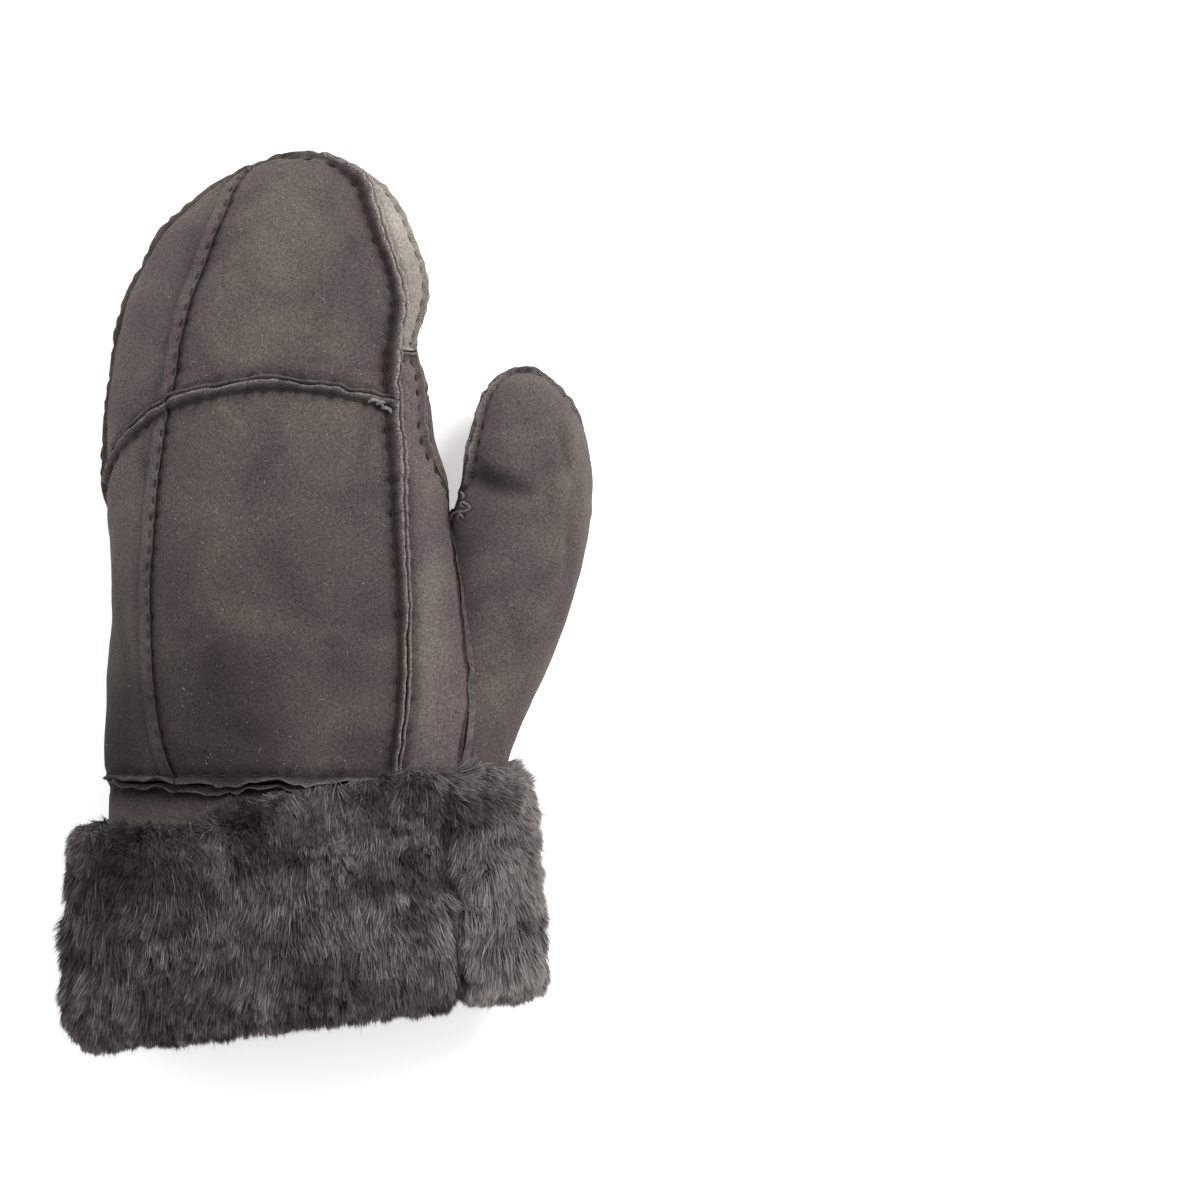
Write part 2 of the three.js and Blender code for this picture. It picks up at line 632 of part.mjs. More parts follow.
/** One lock: a flat tapering tongue rooted in the fur, its tip lifted and turned to the fold. */
function lock(place, share, length, turn) {
  const root = ringPoint(place, PILE - LOCK_ROOT, (x) => cuffY(x, share));
  const tip = ringPoint(place + turn, PILE + LOCK_LIFT, (x) => cuffY(x, share) - length);
  const { outward } = loopAt(place);
  const out = new THREE.Vector3(outward.x, 0, outward.y);
  const side = new THREE.Vector3().crossVectors(out, tip.clone().sub(root)).normalize();
  const points = [];
  for (const { along, width, thickness } of LOCK_SHAPE) {
    const bow = LOCK_BOW * Math.sin(Math.PI * along);
    const centre = root.clone().lerp(tip, along).addScaledVector(out, bow);
    for (let i = 0; i < LOCK_SIDES; i += 1) {
      const angle = (2 * Math.PI * i) / LOCK_SIDES;
      const across = (Math.cos(angle) * LOCK_WIDTH * width) / 2;
      const up = (Math.sin(angle) * LOCK_THICK * thickness) / 2;
      points.push(centre.clone().addScaledVector(side, across).addScaledVector(out, up));
    }
  }
  return weld(points, tubeFaces(LOCK_SHAPE.length, LOCK_SIDES));
}

/** Faces of a closed tube through rings of points, with a fan over each end. */
function tubeFaces(rings, sides) {
  const faces = [];
  for (let level = 0; level + 1 < rings; level += 1) {
    for (let i = 0; i < sides; i += 1) {
      const j = (i + 1) % sides;
      const [a, b] = [level * sides + i, level * sides + j];
      faces.push([a, b, b + sides], [a, b + sides, a + sides]);
    }
  }
  const last = (rings - 1) * sides;
  for (let i = 1; i + 1 < sides; i += 1) {
    faces.push([0, i + 1, i], [last, last + i, last + i + 1]);
  }
  return faces;
}

const wasm = await Module();
wasm.setup();

function toSolid({ points, faces }) {
  return new wasm.Manifold(
    new wasm.Mesh({
      numProp: 3,
      vertProperties: new Float32Array(points.flat()),
      triVerts: new Uint32Array(faces.flat()),
    }),
  );
}

/** A solid's points on the same fine grid as every other mesh, and its faces. */
function fromSolid(solid) {
  const { vertProperties, triVerts, numProp } = solid.getMesh();
  const points = [];
  for (let i = 0; i < vertProperties.length; i += numProp) {
    points.push(new THREE.Vector3(...vertProperties.slice(i, i + 3)));
  }
  const faces = [];
  for (let i = 0; i < triVerts.length; i += 3) faces.push(Array.from(triVerts.slice(i, i + 3)));
  return weld(points, faces);
}

/** A box between two corners, as points and faces. */
function box(low, high) {
  const points = [];
  for (const y of [low.y, high.y]) {
    points.push(new THREE.Vector3(low.x, y, low.z), new THREE.Vector3(low.x, y, high.z));
    points.push(new THREE.Vector3(high.x, y, high.z), new THREE.Vector3(high.x, y, low.z));
  }
  return weld(points, tubeFaces(2, 4));
}

/** The cuff, cut by the fur's join, with its locks, and pressed flat where the mitten rests. */
function furCuff() {
  const next = numbersFrom(7);
  let fur = toSolid(cuffBody()).subtract(toSolid(furJoin()));
  for (let row = 0; row < LOCK_ROWS; row += 1) {
    const share = (LAST_ROW_SHARE * row) / (LOCK_ROWS - 1);
    for (let i = 0; i < LOCKS_ROUND; i += 1) {
      const place = ((i + (row % 2) / 2 + 0.3 * next()) * RING_POINTS) / LOCKS_ROUND;
      const length = LOCK_LENGTH * (0.8 + 0.4 * next());
      const turn = 0.8 * (next() - 0.5);
      if (!isByJoin(place)) fur = fur.add(toSolid(lock(place, share, length, turn)));
    }
  }
  return fromSolid(fur.subtract(toSolid(restingSlab())));
}

/** Whether a lock rooted at this place would bridge the fur's join. */
function isByJoin(place) {
  const { point, outward } = loopAt(place);
  const apart = Math.abs(point.x - JOIN_ACROSS * PALM_WIDTH);
  return outward.y > 0 && apart < (LOCK_WIDTH + JOIN_WIDTH) / 2;
}

/** The narrow gap between the two ends of the cuff's fur, on the back of the wrist. */
function furJoin() {
  const x = JOIN_ACROSS * PALM_WIDTH;
  const top = 3 * PALM_THICK;
  const place = placeOf((at) => loopAt(at).point.x, x, RING_POINTS / 2);
  const bottom = ringPoint(place, PILE - JOIN_DEPTH, () => WRIST_Y - CUFF_DEPTH / 2).z;
  const low = new THREE.Vector3(x - JOIN_WIDTH / 2, foldY(x) + FOLD_BULGE, bottom);
  return box(low, new THREE.Vector3(x + JOIN_WIDTH / 2, edgeY(x) + LOCK_LENGTH, top));
}

/** Everything below the surface that the mitten rests on. */
function restingSlab() {
  const reach = 3 * HAND_LENGTH;
  return box(
    new THREE.Vector3(-reach, -reach, -PALM_THICK),
    new THREE.Vector3(reach, reach, 0),
  );
}

const object = new THREE.Group();
object.name = "fur_mitten";
for (const spec of PANELS) object.add(panelMesh(spec, handPoint, HAND_TIP));
for (const spec of THUMB_PANELS) object.add(panelMesh(spec, thumbPoint, THUMB_TIP));
object.add(meshFrom(wristBand(), "wrist_band", "suede"));
object.add(meshFrom(furCuff(), "fur_cuff", "fur"));

export default object;
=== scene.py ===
# %% [markdown]
# # A shearling mitten
# A left-hand mitten of sheepskin, sewn with the suede side out and lying on its palm.  Its cuff is
# turned back, so the wool that lines the mitten shows there as a thick band of fur.  The packed
# model gives the frame: every piece below is built in millimetres and turned into metres once.

import bmesh
import bpy
import numpy as np
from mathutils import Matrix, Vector, kdtree


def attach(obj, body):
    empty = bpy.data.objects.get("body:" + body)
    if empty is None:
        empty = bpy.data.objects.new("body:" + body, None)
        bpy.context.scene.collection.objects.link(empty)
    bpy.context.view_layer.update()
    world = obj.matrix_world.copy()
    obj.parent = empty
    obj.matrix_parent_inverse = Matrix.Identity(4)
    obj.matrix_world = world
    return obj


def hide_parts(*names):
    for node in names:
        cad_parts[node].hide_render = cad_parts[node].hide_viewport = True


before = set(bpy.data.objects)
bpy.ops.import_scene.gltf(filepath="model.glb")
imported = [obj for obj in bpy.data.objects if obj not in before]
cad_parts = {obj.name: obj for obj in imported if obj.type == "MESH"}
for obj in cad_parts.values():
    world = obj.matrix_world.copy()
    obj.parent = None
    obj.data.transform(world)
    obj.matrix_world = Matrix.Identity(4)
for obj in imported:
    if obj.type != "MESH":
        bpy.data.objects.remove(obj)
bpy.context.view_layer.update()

MM = 0.001
print("nodes", sorted(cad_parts))

# %% [markdown]
# ## The sizes and the section tables
# The hand is a padded tube.  A row for each section says where its rims and its long seams run, and
# how high it stands.  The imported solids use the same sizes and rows, so the fine panels made here
# lie where the plain ones do.

# %% The mitten's sizes, in millimetres
HAND_LENGTH = 194  # from the wrist seam to the fingertips
PALM_WIDTH = 106
PALM_THICK = 48
ORIGIN_ALONG = 0.42  # share of the hand's length at which the origin lies
ROUNDNESS = 2.6  # 2 makes each section an ellipse, and more makes it flatter on top
PILLOW_RISE = 2.2  # how far a panel swells between its seams
THUMB_WIDTH = 43
THUMB_THICK = 38
THUMB_REACH = 45.5  # from the crotch to the thumb's tip
WALL = 2.2
SEAM_GAP = 0.4
WELT_RISE = 2.4  # raw edges of a seam on the back
WRIST_Y = -ORIGIN_ALONG * HAND_LENGTH

HAND_COLUMNS = ["along", "outer", "outer_seam", "inner_seam", "inner", "top", "rim", "bottom",
                "open", "side_wrap", "palm_wrap"]
HAND_ROWS = [
    [0.0, -0.49, -0.28, 0.35, 0.54, 1.12, 0.69, 0.25, 0.85, 30, 0],
    [0.06, -0.49, -0.32, 0.37, 0.555, 1.1, 0.63, 0.15, 0.8, 30, 0],
    [0.16, -0.48, -0.35, 0.385, 0.57, 1.06, 0.55, 0.02, 0.68, 30, 0],
    [0.3, -0.47, -0.36, 0.38, 0.54, 1.02, 0.5, -0.04, 0.45, 27, 0],
    [0.38, -0.48, -0.35, 0.37, 0.52, 1.0, 0.49, -0.05, 0.24, 20, 0],
    [0.42, -0.49, -0.345, 0.365, 0.51, 1.0, 0.49, -0.05, 0, 12, -6],
    [0.48, -0.495, -0.335, 0.36, 0.5, 0.99, 0.49, -0.05, 0, 0, 10],
    [0.54, -0.495, -0.32, 0.35, 0.468, 0.98, 0.49, -0.05, 0, 0, 18],
    [0.6, -0.49, -0.305, 0.345, 0.455, 0.97, 0.48, -0.05, 0, 0, 16],
    [0.64, -0.48, -0.285, 0.34, 0.43, 0.95, 0.48, -0.05, 0, 0, 9],
    [0.685, -0.47, -0.275, 0.342, 0.4, 0.92, 0.47, -0.05, 0, 0, 1],
    [0.72, -0.455, -0.262, 0.352, 0.41, 0.89, 0.46, -0.04, 0, 0, 0],
    [0.77, -0.43, -0.24, 0.36, 0.43, 0.84, 0.44, -0.03, 0, 0, 0],
    [0.82, -0.39, -0.205, 0.34, 0.425, 0.78, 0.42, -0.01, 0, 0, 0],
    [0.87, -0.34, -0.175, 0.305, 0.39, 0.72, 0.4, 0.01, 0, 0, 0],
    [0.91, -0.27, -0.145, 0.28, 0.36, 0.65, 0.38, 0.05, 0, 0, 0],
    [0.95, -0.18, -0.12, 0.255, 0.305, 0.57, 0.36, 0.11, 0, 0, 0],
    [0.98, -0.075, -0.075, 0.195, 0.225, 0.47, 0.34, 0.19, 0, 0, 0],
    [1.0, 0.03, 0.03, 0.13, 0.13, 0.33, 0.33, 0.33, 0, 0, 0],
]
THUMB_COLUMNS = ["below", "above", "left", "right", "crest", "seam_wrap", "fold_wrap"]
THUMB_ROWS = [
    [0.0, 0, 0, 0.385, 0.35, 0, 40],
    [0.15, 0, 0, 0.46, 0.365, 0, 40],
    [0.3, 0, 0, 0.58, 0.39, 0, 40],
    [0.46, 0, 0, 0.72, 0.42, 0, 40],
    [0.61, 0, 0, 0.83, 0.45, 0, 40],
    [0.8, 0, 0, 0.94, 0.48, 0, 40],
    [1, 0.0, 0, 1.01, 0.49, 0, 40],
    [1, 0.12, 0.04, 1.025, 0.5, 10, 40],
    [1, 0.25, 0.08, 1.03, 0.5, 22, 38],
    [1, 0.42, 0.1, 1.01, 0.49, 26, 30],
    [1, 0.58, 0.14, 0.965, 0.465, 26, 14],
    [1, 0.73, 0.19, 0.89, 0.42, 24, 0],
    [1, 0.85, 0.27, 0.8, 0.36, 16, 0],
    [1, 0.94, 0.375, 0.695, 0.26, 6, 0],
    [1, 1.0, 0.485, 0.57, 0, 0, 0],
]
KNUCKLE_COLUMNS = ["across", "along"]
KNUCKLE_ROWS = [[0.0, 0.48], [0.05, 0.535], [0.2, 0.598], [0.45, 0.628], [0.7, 0.622], [1.0, 0.585]]

# %% [markdown]
# ## From rows to a surface
# A dozen rows would give a faceted tube.  A spline through each column makes it smooth, so that any
# place between two rows has its section.  It passes through every row, as a drawn curve would.


# %% Smooth curves through the tables' rows
def read_table(names, rows, mirrored=()):
    """Columns by name.  A row past the tip mirrors the one before it, so the tip comes out round."""
    table = {name: np.array([row[i] for row in rows], float) for i, name in enumerate(names)}
    if mirrored:
        for name, column in table.items():
            past = column[-2] if name in mirrored else 2 * column[-1] - column[-2]
            table[name] = np.append(column, past)
    return table


def curve_at(column, place):
    """The smooth value of a column at places counted in rows."""
    place = np.asarray(place, float)
    row = np.clip(np.floor(place).astype(int), 0, len(column) - 2)
    t = place - row
    ends = [2 * column[0] - column[1]], column, [2 * column[-1] - column[-2]]
    a, b, c, d = (np.concatenate(ends)[row + k] for k in range(4))
    return b + 0.5 * t * (c - a + t * (2 * a - 5 * b + 4 * c - d + t * (3 * (b - c) + d - a)))


HALVINGS = 26


def place_of(column, value, last):
    """The places at which a growing column reaches some values, found by halving."""
    value = np.asarray(value, float)
    low = np.zeros_like(value)
    high = np.full_like(value, last)
    for _ in range(HALVINGS):
        middle = (low + high) / 2
        under = curve_at(column, middle) < value
        low = np.where(under, middle, low)
        high = np.where(under, high, middle)
    return (low + high) / 2


HAND = read_table(HAND_COLUMNS, HAND_ROWS, ("along", "rim"))
THUMB = read_table(THUMB_COLUMNS, THUMB_ROWS, ("below", "above"))
KNUCKLE = read_table(KNUCKLE_COLUMNS, KNUCKLE_ROWS)
HAND_TIP = len(HAND_ROWS) - 1
THUMB_TIP = len(THUMB_ROWS) - 1
CROTCH_ROW = int(np.argmax(HAND["open"] == 0))
THUMB_CROTCH = int(np.argmax(THUMB["below"] == 1))
CROTCH_X = HAND["inner"][CROTCH_ROW] * PALM_WIDTH + SEAM_GAP
print("hand rows", len(HAND_ROWS), "thumb rows", len(THUMB_ROWS))


# %% The section of the hand and of the thumb
def hand_place(along):
    return place_of(HAND["along"], along, HAND_TIP)


def hand_section(place):
    """Edges, heights over and under the rim, and how much of each height is open to the thumb."""
    rim = curve_at(HAND["rim"], place) * PALM_THICK
    over = curve_at(HAND["top"], place) * PALM_THICK - rim
    under = rim - curve_at(HAND["bottom"], place) * PALM_THICK
    gap = np.maximum(curve_at(HAND["open"], place), 0)
    return {"y": WRIST_Y + curve_at(HAND["along"], place) * HAND_LENGTH,
            "left": curve_at(HAND["outer"], place) * PALM_WIDTH,
            "right": curve_at(HAND["inner"], place) * PALM_WIDTH,
            "rim": rim, "over": over, "under": under,
            "open_over": gap * over, "open_under": gap * under}


def thumb_section(place):
    below = np.minimum(curve_at(THUMB["below"], place), 1)
    above = np.maximum(curve_at(THUMB["above"], place), 0)
    along = below * HAND["along"][CROTCH_ROW] + above * THUMB_REACH / HAND_LENGTH
    hand = hand_section(hand_place(along))
    crest = curve_at(THUMB["crest"], place) * THUMB_THICK
    joined = np.asarray(place) < THUMB_CROTCH
    free = CROTCH_X + curve_at(THUMB["left"], place) * THUMB_WIDTH
    return {"y": WRIST_Y + along * HAND_LENGTH,
            "left": np.where(joined, hand["right"] + SEAM_GAP, free),
            "right": CROTCH_X + curve_at(THUMB["right"], place) * THUMB_WIDTH,
            "rim": hand["rim"], "over": crest, "under": crest,
            "open_over": np.where(joined, hand["open_over"], 0),
            "open_under": np.where(joined, hand["open_under"], 0)}


def half_height(crest, gap, cosine):
    """Half a section's height: an oval whose edge on one side is open by some height."""
    oval = np.maximum(crest ** 2 - gap ** 2 / 2, 0)
    round_part = (1 - np.abs(cosine) ** ROUNDNESS) * oval
    return np.sqrt(np.maximum(round_part + gap ** 2 * (1 - cosine) / 2, 0))


def section_point(section, angle, open_side):
    """Points of a section: angle 0 is its left rim, pi its right one, and the back in between."""
    cosine = np.cos(angle)
    back = np.sin(angle) >= 0
    crest = np.where(back, section["over"], section["under"])
    gap = np.where(back, section["open_over"], section["open_under"])
    rise = half_height(crest, gap, open_side * cosine)
    x = section["left"] + (section["right"] - section["left"]) * (1 - cosine) / 2
    z = np.where(back, section["rim"] + rise, np.maximum(section["rim"] - rise, 0))
    return np.stack([x, section["y"] + 0 * x, z], axis=-1)


def hand_point(angle, place):
    return section_point(hand_section(place), angle, 1)


def thumb_point(angle, place):
    return section_point(thumb_section(place), angle, -1)


def points_at(place, run, points):
    """Points at distances along a line of points, whose own distances are its run."""
    return np.stack([np.interp(place, run, column) for column in points.T], -1)


def table_value(table, place):
    """Values between the rows of a table of places and values."""
    return np.interp(place, *np.array(table).T)


def unit(vectors):
    return vectors / np.maximum(np.linalg.norm(vectors, axis=-1, keepdims=True), 1e-12)


def surface_frame(point, angle, place, last):
    """Outward normals, and the millimetres to a unit of angle and of place."""
    step = 0.01
    low = np.maximum(place - step, 0)
    high = np.minimum(place + step, last)
    across = point(angle + step, place) - point(angle - step, place)
    along = point(angle, high) - point(angle, low)
    per_angle = np.linalg.norm(across, axis=-1) / (2 * step)
    per_place = np.linalg.norm(along, axis=-1) / (high - low)
    return unit(np.cross(across, along)), per_angle, per_place


# %% [markdown]
# ## Where the seams run
# Seven panels make the hand and two the thumb.  Each panel is a patch of the section surface between
# four seams, so a seam is a rule: an angle for each place along the hand, or a place for each angle.

# %% The seams as rules
def seam_angle(name, place):
    left = curve_at(HAND["outer"], place)
    width = np.maximum(curve_at(HAND["inner"], place) - left, 1e-6)
    share = (curve_at(HAND[name], place) - left) / width
    return np.arccos(np.clip(1 - 2 * share, -1, 1))


def knuckle_place(angle):
    across = (1 - np.cos(np.maximum(angle, 0))) / 2
    row = place_of(KNUCKLE["across"], across, len(KNUCKLE_ROWS) - 1)
    return hand_place(curve_at(KNUCKLE["along"], row))


def always(value):
    return lambda coordinate: np.full_like(np.asarray(coordinate, float), value)


def along_seam(name):
    return lambda place: seam_angle(name, place)


def wrapped(column, start, sign):
    """A seam that runs some degrees past a rim, as a table's column says."""
    return lambda place: start + sign * np.radians(np.maximum(curve_at(column, place), 0))


OUTER_SEAM, INNER_SEAM = along_seam("outer_seam"), along_seam("inner_seam")
UNDER_SIDE = wrapped(HAND["side_wrap"], 0, -1)
PALM_EDGE = wrapped(HAND["palm_wrap"], np.pi, -1)
PALM_START = wrapped(HAND["palm_wrap"], -np.pi, -1)
THUMB_SEAM = wrapped(THUMB["seam_wrap"], 0, 1)
THUMB_FOLD = wrapped(THUMB["fold_wrap"], np.pi, 1)
THUMB_ROUND = wrapped(THUMB["seam_wrap"], 2 * np.pi, 1)
WRIST, HAND_END, THUMB_END = always(0), always(HAND_TIP), always(THUMB_TIP)
OUTER_RIM, INNER_RIM = always(0), always(np.pi)
OUTER_SEAM_END = always(HAND_TIP - 1)  # the row at which the outer seam runs out into the rim
CROSS_SEAM = always(float(hand_place(0.685)))  # between the pale tip gusset and the one below it


# %% [markdown]
# ## Noise for puckers and ruffles
# Hide is never quite smooth.  A small gradient noise, worked out on whole arrays at once, gives all
# the uneven shapes below, and it is the same on each run because its table comes from a fixed seed.

# %% Gradient noise on arrays of points
NOISE_CELLS = 256
NOISE_GAIN = 1.7  # brings the sum to about -1 to 1
GRADIENTS = unit(np.random.default_rng(5).normal(size=(NOISE_CELLS, 3)))


def noise(points, scale, seed):
    """Smooth noise of about -1 to 1, whose features are some millimetres across."""
    table = np.tile(np.random.default_rng(seed + 11).permutation(NOISE_CELLS), 3)
    scaled = np.asarray(points, float) / scale
    cell = np.floor(scaled).astype(int)
    part = scaled - cell
    fade = part ** 3 * (part * (part * 6 - 15) + 10)
    cell = cell % NOISE_CELLS
    total = 0
    for corner in np.ndindex(2, 2, 2):
        x, y, z = (cell[..., k] + corner[k] for k in range(3))
        pick = table[table[table[x] + y] + z]
        reach = part - np.array(corner)
        weight = np.prod(np.where(np.array(corner), fade, 1 - fade), axis=-1)
        total = total + weight * np.sum(GRADIENTS[pick] * reach, axis=-1)
    return total * NOISE_GAIN


def noise_vectors(points, *layers):
    """Noise in three directions, summed over layers of a strength, a scale and a first seed."""
    return np.stack([sum(strength * noise(points, scale, seed + k) for strength, scale, seed in layers)
                     for k in range(3)], -1)


def line_noise(run, side, scale, seed):
    """Noise along a line, which changes with the distance to its side as well."""
    return noise(np.stack([run, side, 0 * run], -1), scale, seed)


# %% [markdown]
# ## A panel of hide
# Each panel is a closed sheet: an outer skin, an inner skin one wall below it, and the cut borders.
# The seams of this mitten are sewn with the raw edges outside, so along a seam the skin turns up
# into a thin standing edge.  Thread draws that edge down at every stitch, which leaves it ruffled,
# and pulls short puckers into the panel beside it.  All of this is moved geometry, because the
# edges stand out clearly in the outline and in the shadows.

# %% The profiles and kinds of seams
STITCH_PITCH = 5.2
EDGE_COLUMNS = ["inset", "raw", "lap", "under", "crest", "flank"]
EDGE_PROFILE = [  # millimetres in from the border, then three shares of rise and two of paleness: the pale cut edge at the crest, and painted light over the flank of a lip
    (0.0, 0.62, 0.8, -0.5, 0.0, 0.3),
    (0.2, 0.86, 1.0, -0.5, 0.3, 0.7),
    (0.42, 1.0, 1.0, -0.5, 1.0, 1.0),
    (0.66, 0.98, 1.0, -0.45, 0.8, 0.95),
    (0.86, 0.82, 1.0, -0.4, 0.25, 0.8),
    (1.05, 0.5, 1.0, -0.3, 0.0, 0.65),
    (1.3, 0.12, 1.0, -0.2, 0.0, 0.45),
    (1.8, -0.2, 1.0, -0.1, 0.0, 0.2),
    (2.7, -0.26, 1.0, 0.0, 0.0, 0.0),
    (3.9, -0.1, 0.1, 0.0, 0.0, 0.0),
]
EDGE = {name: np.array(column) for name, column in zip(EDGE_COLUMNS, zip(*EDGE_PROFILE))}
EDGE_STEPS = len(EDGE_PROFILE)
INSETS = EDGE["inset"] + SEAM_GAP / 2
TALLEST_RISE = 3.0
SEAM_COLUMNS = ["profile", "rise", "hole", "thread", "worn", "pale", "shade", "wave"]
SEAMS = {  # rise and the stitches' distance in are millimetres, and the last three are shares: of paleness, of painted shade beside the seam, and of sway
    "welt": ("raw", TALLEST_RISE, 2.2, True, "crest", 0.45, 1.0, 1.0),
    "wrist": ("raw", 2.4, 2.2, True, "crest", 0.5, 0.9, 3.4),
    "rim": ("raw", 1.5, 2.8, True, "crest", 0.26, 0.4, 1.0),
    "thumb_rim": ("raw", 2.0, 2.7, True, "flank", 0.32, 0.28, 1.8),
    "thumb_end": ("raw", 1.5, 2.8, True, "flank", 0.3, 0.22, 1.0),
    "lap": ("lap", 0.8, 0.5, True, "crest", 0.0, 1.0, 0.8),
    "under": ("under", 0.8, 0.6, False, "crest", 0.0, 1.0, 0.0),
}
SEAMS = {name: dict(zip(SEAM_COLUMNS, row)) for name, row in SEAMS.items()}
SEAM_SHADES = {  # millimetres from the seam, share of the hide's colour that is left: painted shade between the lips, at their foot and under a lap, and a painted highlight on a lapped strip
    "raw": [(0.2, 0.4), (0.62, 1.0), (1.06, 0.95), (1.5, 0.34), (2.1, 0.36), (3.0, 0.82), (6.0, 1.0)],
    "lap": [(0.0, 1.06), (3.2, 1.04), (3.9, 0.6), (4.6, 0.8), (8.0, 1.0)],
    "under": [(0.0, 0.3), (0.8, 0.42), (1.8, 0.8), (4.0, 0.95), (8.0, 1.0)],
}


MOST_EDGE = 0.3  # share of a panel's breadth that one border's steps may fill
SETTLING_ROUNDS = 6


def steps_between(step, count, low, high, per_low, per_high):
    """Coordinates of grid steps between two borders, with their millimetres from each border."""
    last = 2 * EDGE_STEPS + count - 2
    room = np.maximum(high - low, 0) * (per_low + per_high) / 2
    squeeze = np.minimum(1, MOST_EDGE * room / INSETS[-1])
    near = INSETS[np.minimum(step, EDGE_STEPS - 1)] * squeeze
    far = INSETS[np.minimum(last - step, EDGE_STEPS - 1)] * squeeze
    share = np.clip((step - EDGE_STEPS + 1) / count, 0, 1)
    start = low + near / per_low
    end = high - far / per_high
    coordinate = np.where(step < EDGE_STEPS, start,
                          np.where(step > last - EDGE_STEPS, end, start + (end - start) * share))
    from_low = near + share * np.maximum(room - near - far, 0)
    from_high = far + (1 - share) * np.maximum(room - near - far, 0)
    return coordinate, from_low, from_high


def panel_grid(spec):
    """A panel's grid.  Its four borders each depend on the other coordinate, so it is settled."""
    point, last = spec["point"], spec["last"]
    left, right = spec["angles"]
    bottom, top = spec["places"]
    rows = np.arange(2 * EDGE_STEPS + spec["rows"] - 1)[:, None]
    columns = np.arange(2 * EDGE_STEPS + spec["columns"] - 1)[None, :]
    middle = np.array(1.5)  # an angle near the middle of the back
    place = 0 * rows + 0.0 * columns + float(bottom(middle) + top(middle)) / 2
    for _ in range(SETTLING_ROUNDS):
        low, high = left(place), np.maximum(right(place), left(place))
        sizes = [surface_frame(point, border, place, last)[1] for border in (low, high)]
        angle, from_left, from_right = steps_between(columns, spec["columns"], low, high, *sizes)
        low, high = bottom(angle), top(angle)
        sizes = [surface_frame(point, angle, border, last)[2] for border in (low, high)]
        place, from_bottom, from_top = steps_between(rows, spec["rows"], low, high, *sizes)
    return {"angle": angle, "place": place, "left": from_left, "right": from_right,
            "bottom": from_bottom, "top": from_top,
            "rows": rows + 0 * columns, "columns": columns + 0 * rows}


# %% [markdown]
# ## Ruffles, dents and puckers
# Each stitch pulls the raw edge down and dents the hide beside it, and short folds run off between
# the stitches.  A cloth simulation could find such folds, but it would need far finer meshes.  Here
# they are sums of noise and of one wave to a stitch, which fade with the distance from the seam.

# %% What one seam does to a panel
def stitch_pull(run):
    """About 1 where a stitch pulls, falling to 0 half way to the next one; some pull less."""
    firm = np.clip(0.7 + 0.9 * line_noise(run, 0 * run, 8, 14), 0.15, 1.2)
    return firm * (0.5 + 0.5 * np.cos(2 * np.pi * run / STITCH_PITCH)) ** 2


def run_along(points, axis):
    """Millimetres run along a grid, row by row or column by column."""
    steps = np.linalg.norm(np.diff(points, axis=axis), axis=-1)
    return np.concatenate([np.zeros_like(np.take(steps, [0], axis)), np.cumsum(steps, axis)], axis)


def fade_along(spec, side, grid):
    """Share of a border's rise that is left at each point, 1 unless a list of shares says so."""
    if side not in spec.get("fades", {}):
        return np.ones(grid["place"].shape)
    coordinate, shares = spec["fades"][side]
    return table_value(shares, grid[coordinate])


def border_steps(grid, side):
    """Grid steps in from a border, and which of them belong to its edge."""
    step = grid["columns"] if side in ("left", "right") else grid["rows"]
    step = step if side in ("left", "bottom") else step.max() - step
    return np.minimum(step, EDGE_STEPS - 1), step < EDGE_STEPS


def bell(distance, middle, reach):
    """1 at the middle, falling softly to 0 beyond the reach on both sides."""
    return np.exp(-((distance - middle) / reach) ** 2)


def seam_puckers(distance, run):
    """A low swelling beside a seam, with short folds that run off from it."""
    folds = line_noise(run, 0.15 * distance, 3.1, 6)
    return 0.12 * bell(distance, 3.4, 2.2) + 0.4 * folds * np.exp(-distance / 5.5) * (distance > 1.3)


def seam_shade(seam, distance, base, strength):
    """Share of the hide's colour that is left beside a seam: painted shade in its grooves, uneven along it,
    and a painted highlight on a lapped strip.
    """
    foot = table_value(SEAM_SHADES[seam["profile"]], distance)
    uneven = 1 + 0.34 * noise(base, 3.4, 12) * np.exp(-distance / 4)
    return (1 - (1 - foot) * seam["shade"] * strength) * uneven


def seam_effects(grid, spec, base, side):
    """What the seam of one border does to each grid point."""
    seam = SEAMS[spec["seams"][side]]
    inset, edge = border_steps(grid, side)
    distance, run = grid[side], run_along(base, 0 if side in ("left", "right") else 1)
    fade = fade_along(spec, side, grid)
    strength = 0.3 + 0.7 * fade
    full = seam["rise"] * fade
    pull = stitch_pull(run)
    share = np.where(edge, EDGE[seam["profile"]][inset], 0)
    ruffle = 1 - 0.34 * pull + 0.26 * noise(base, 5.5, 3) + 0.14 * noise(base, 1.8, 4)
    leans = np.array([*spec.get("leans", {}).get(side, (0, 0)), 0])
    upper = share.clip(0) ** 1.5 * np.clip(full / TALLEST_RISE, 0, 1)
    paleness = seam["pale"] * spec.get("pales", {}).get(side, 1)
    dent = pull * bell(distance, seam["hole"], 1.3) * np.clip(full, 0, 1)
    # The pale mark is the cut edge's own pale colour at a crest, and painted light on the flank of a thumb's
    # lip.
    return {"rise": full * share * np.where(share > 0.3, ruffle, 1),
            "lean": leans * upper[..., None],
            "pale": np.where(edge, EDGE[seam["worn"]][inset], 0) * paleness * fade,
            "pucker": seam_puckers(distance, run) * strength - 0.8 * dent,
            # painted shade in each stitch's dent darkens the colour further
            "shade": seam_shade(seam, distance, base, strength) * (1 - 0.7 * dent),
            "wave": seam["wave"] * share.clip(0) * full / WELT_RISE,
            "nearest": distance}


def taller(first, second):
    return np.where(np.abs(second) > np.abs(first), second, first)


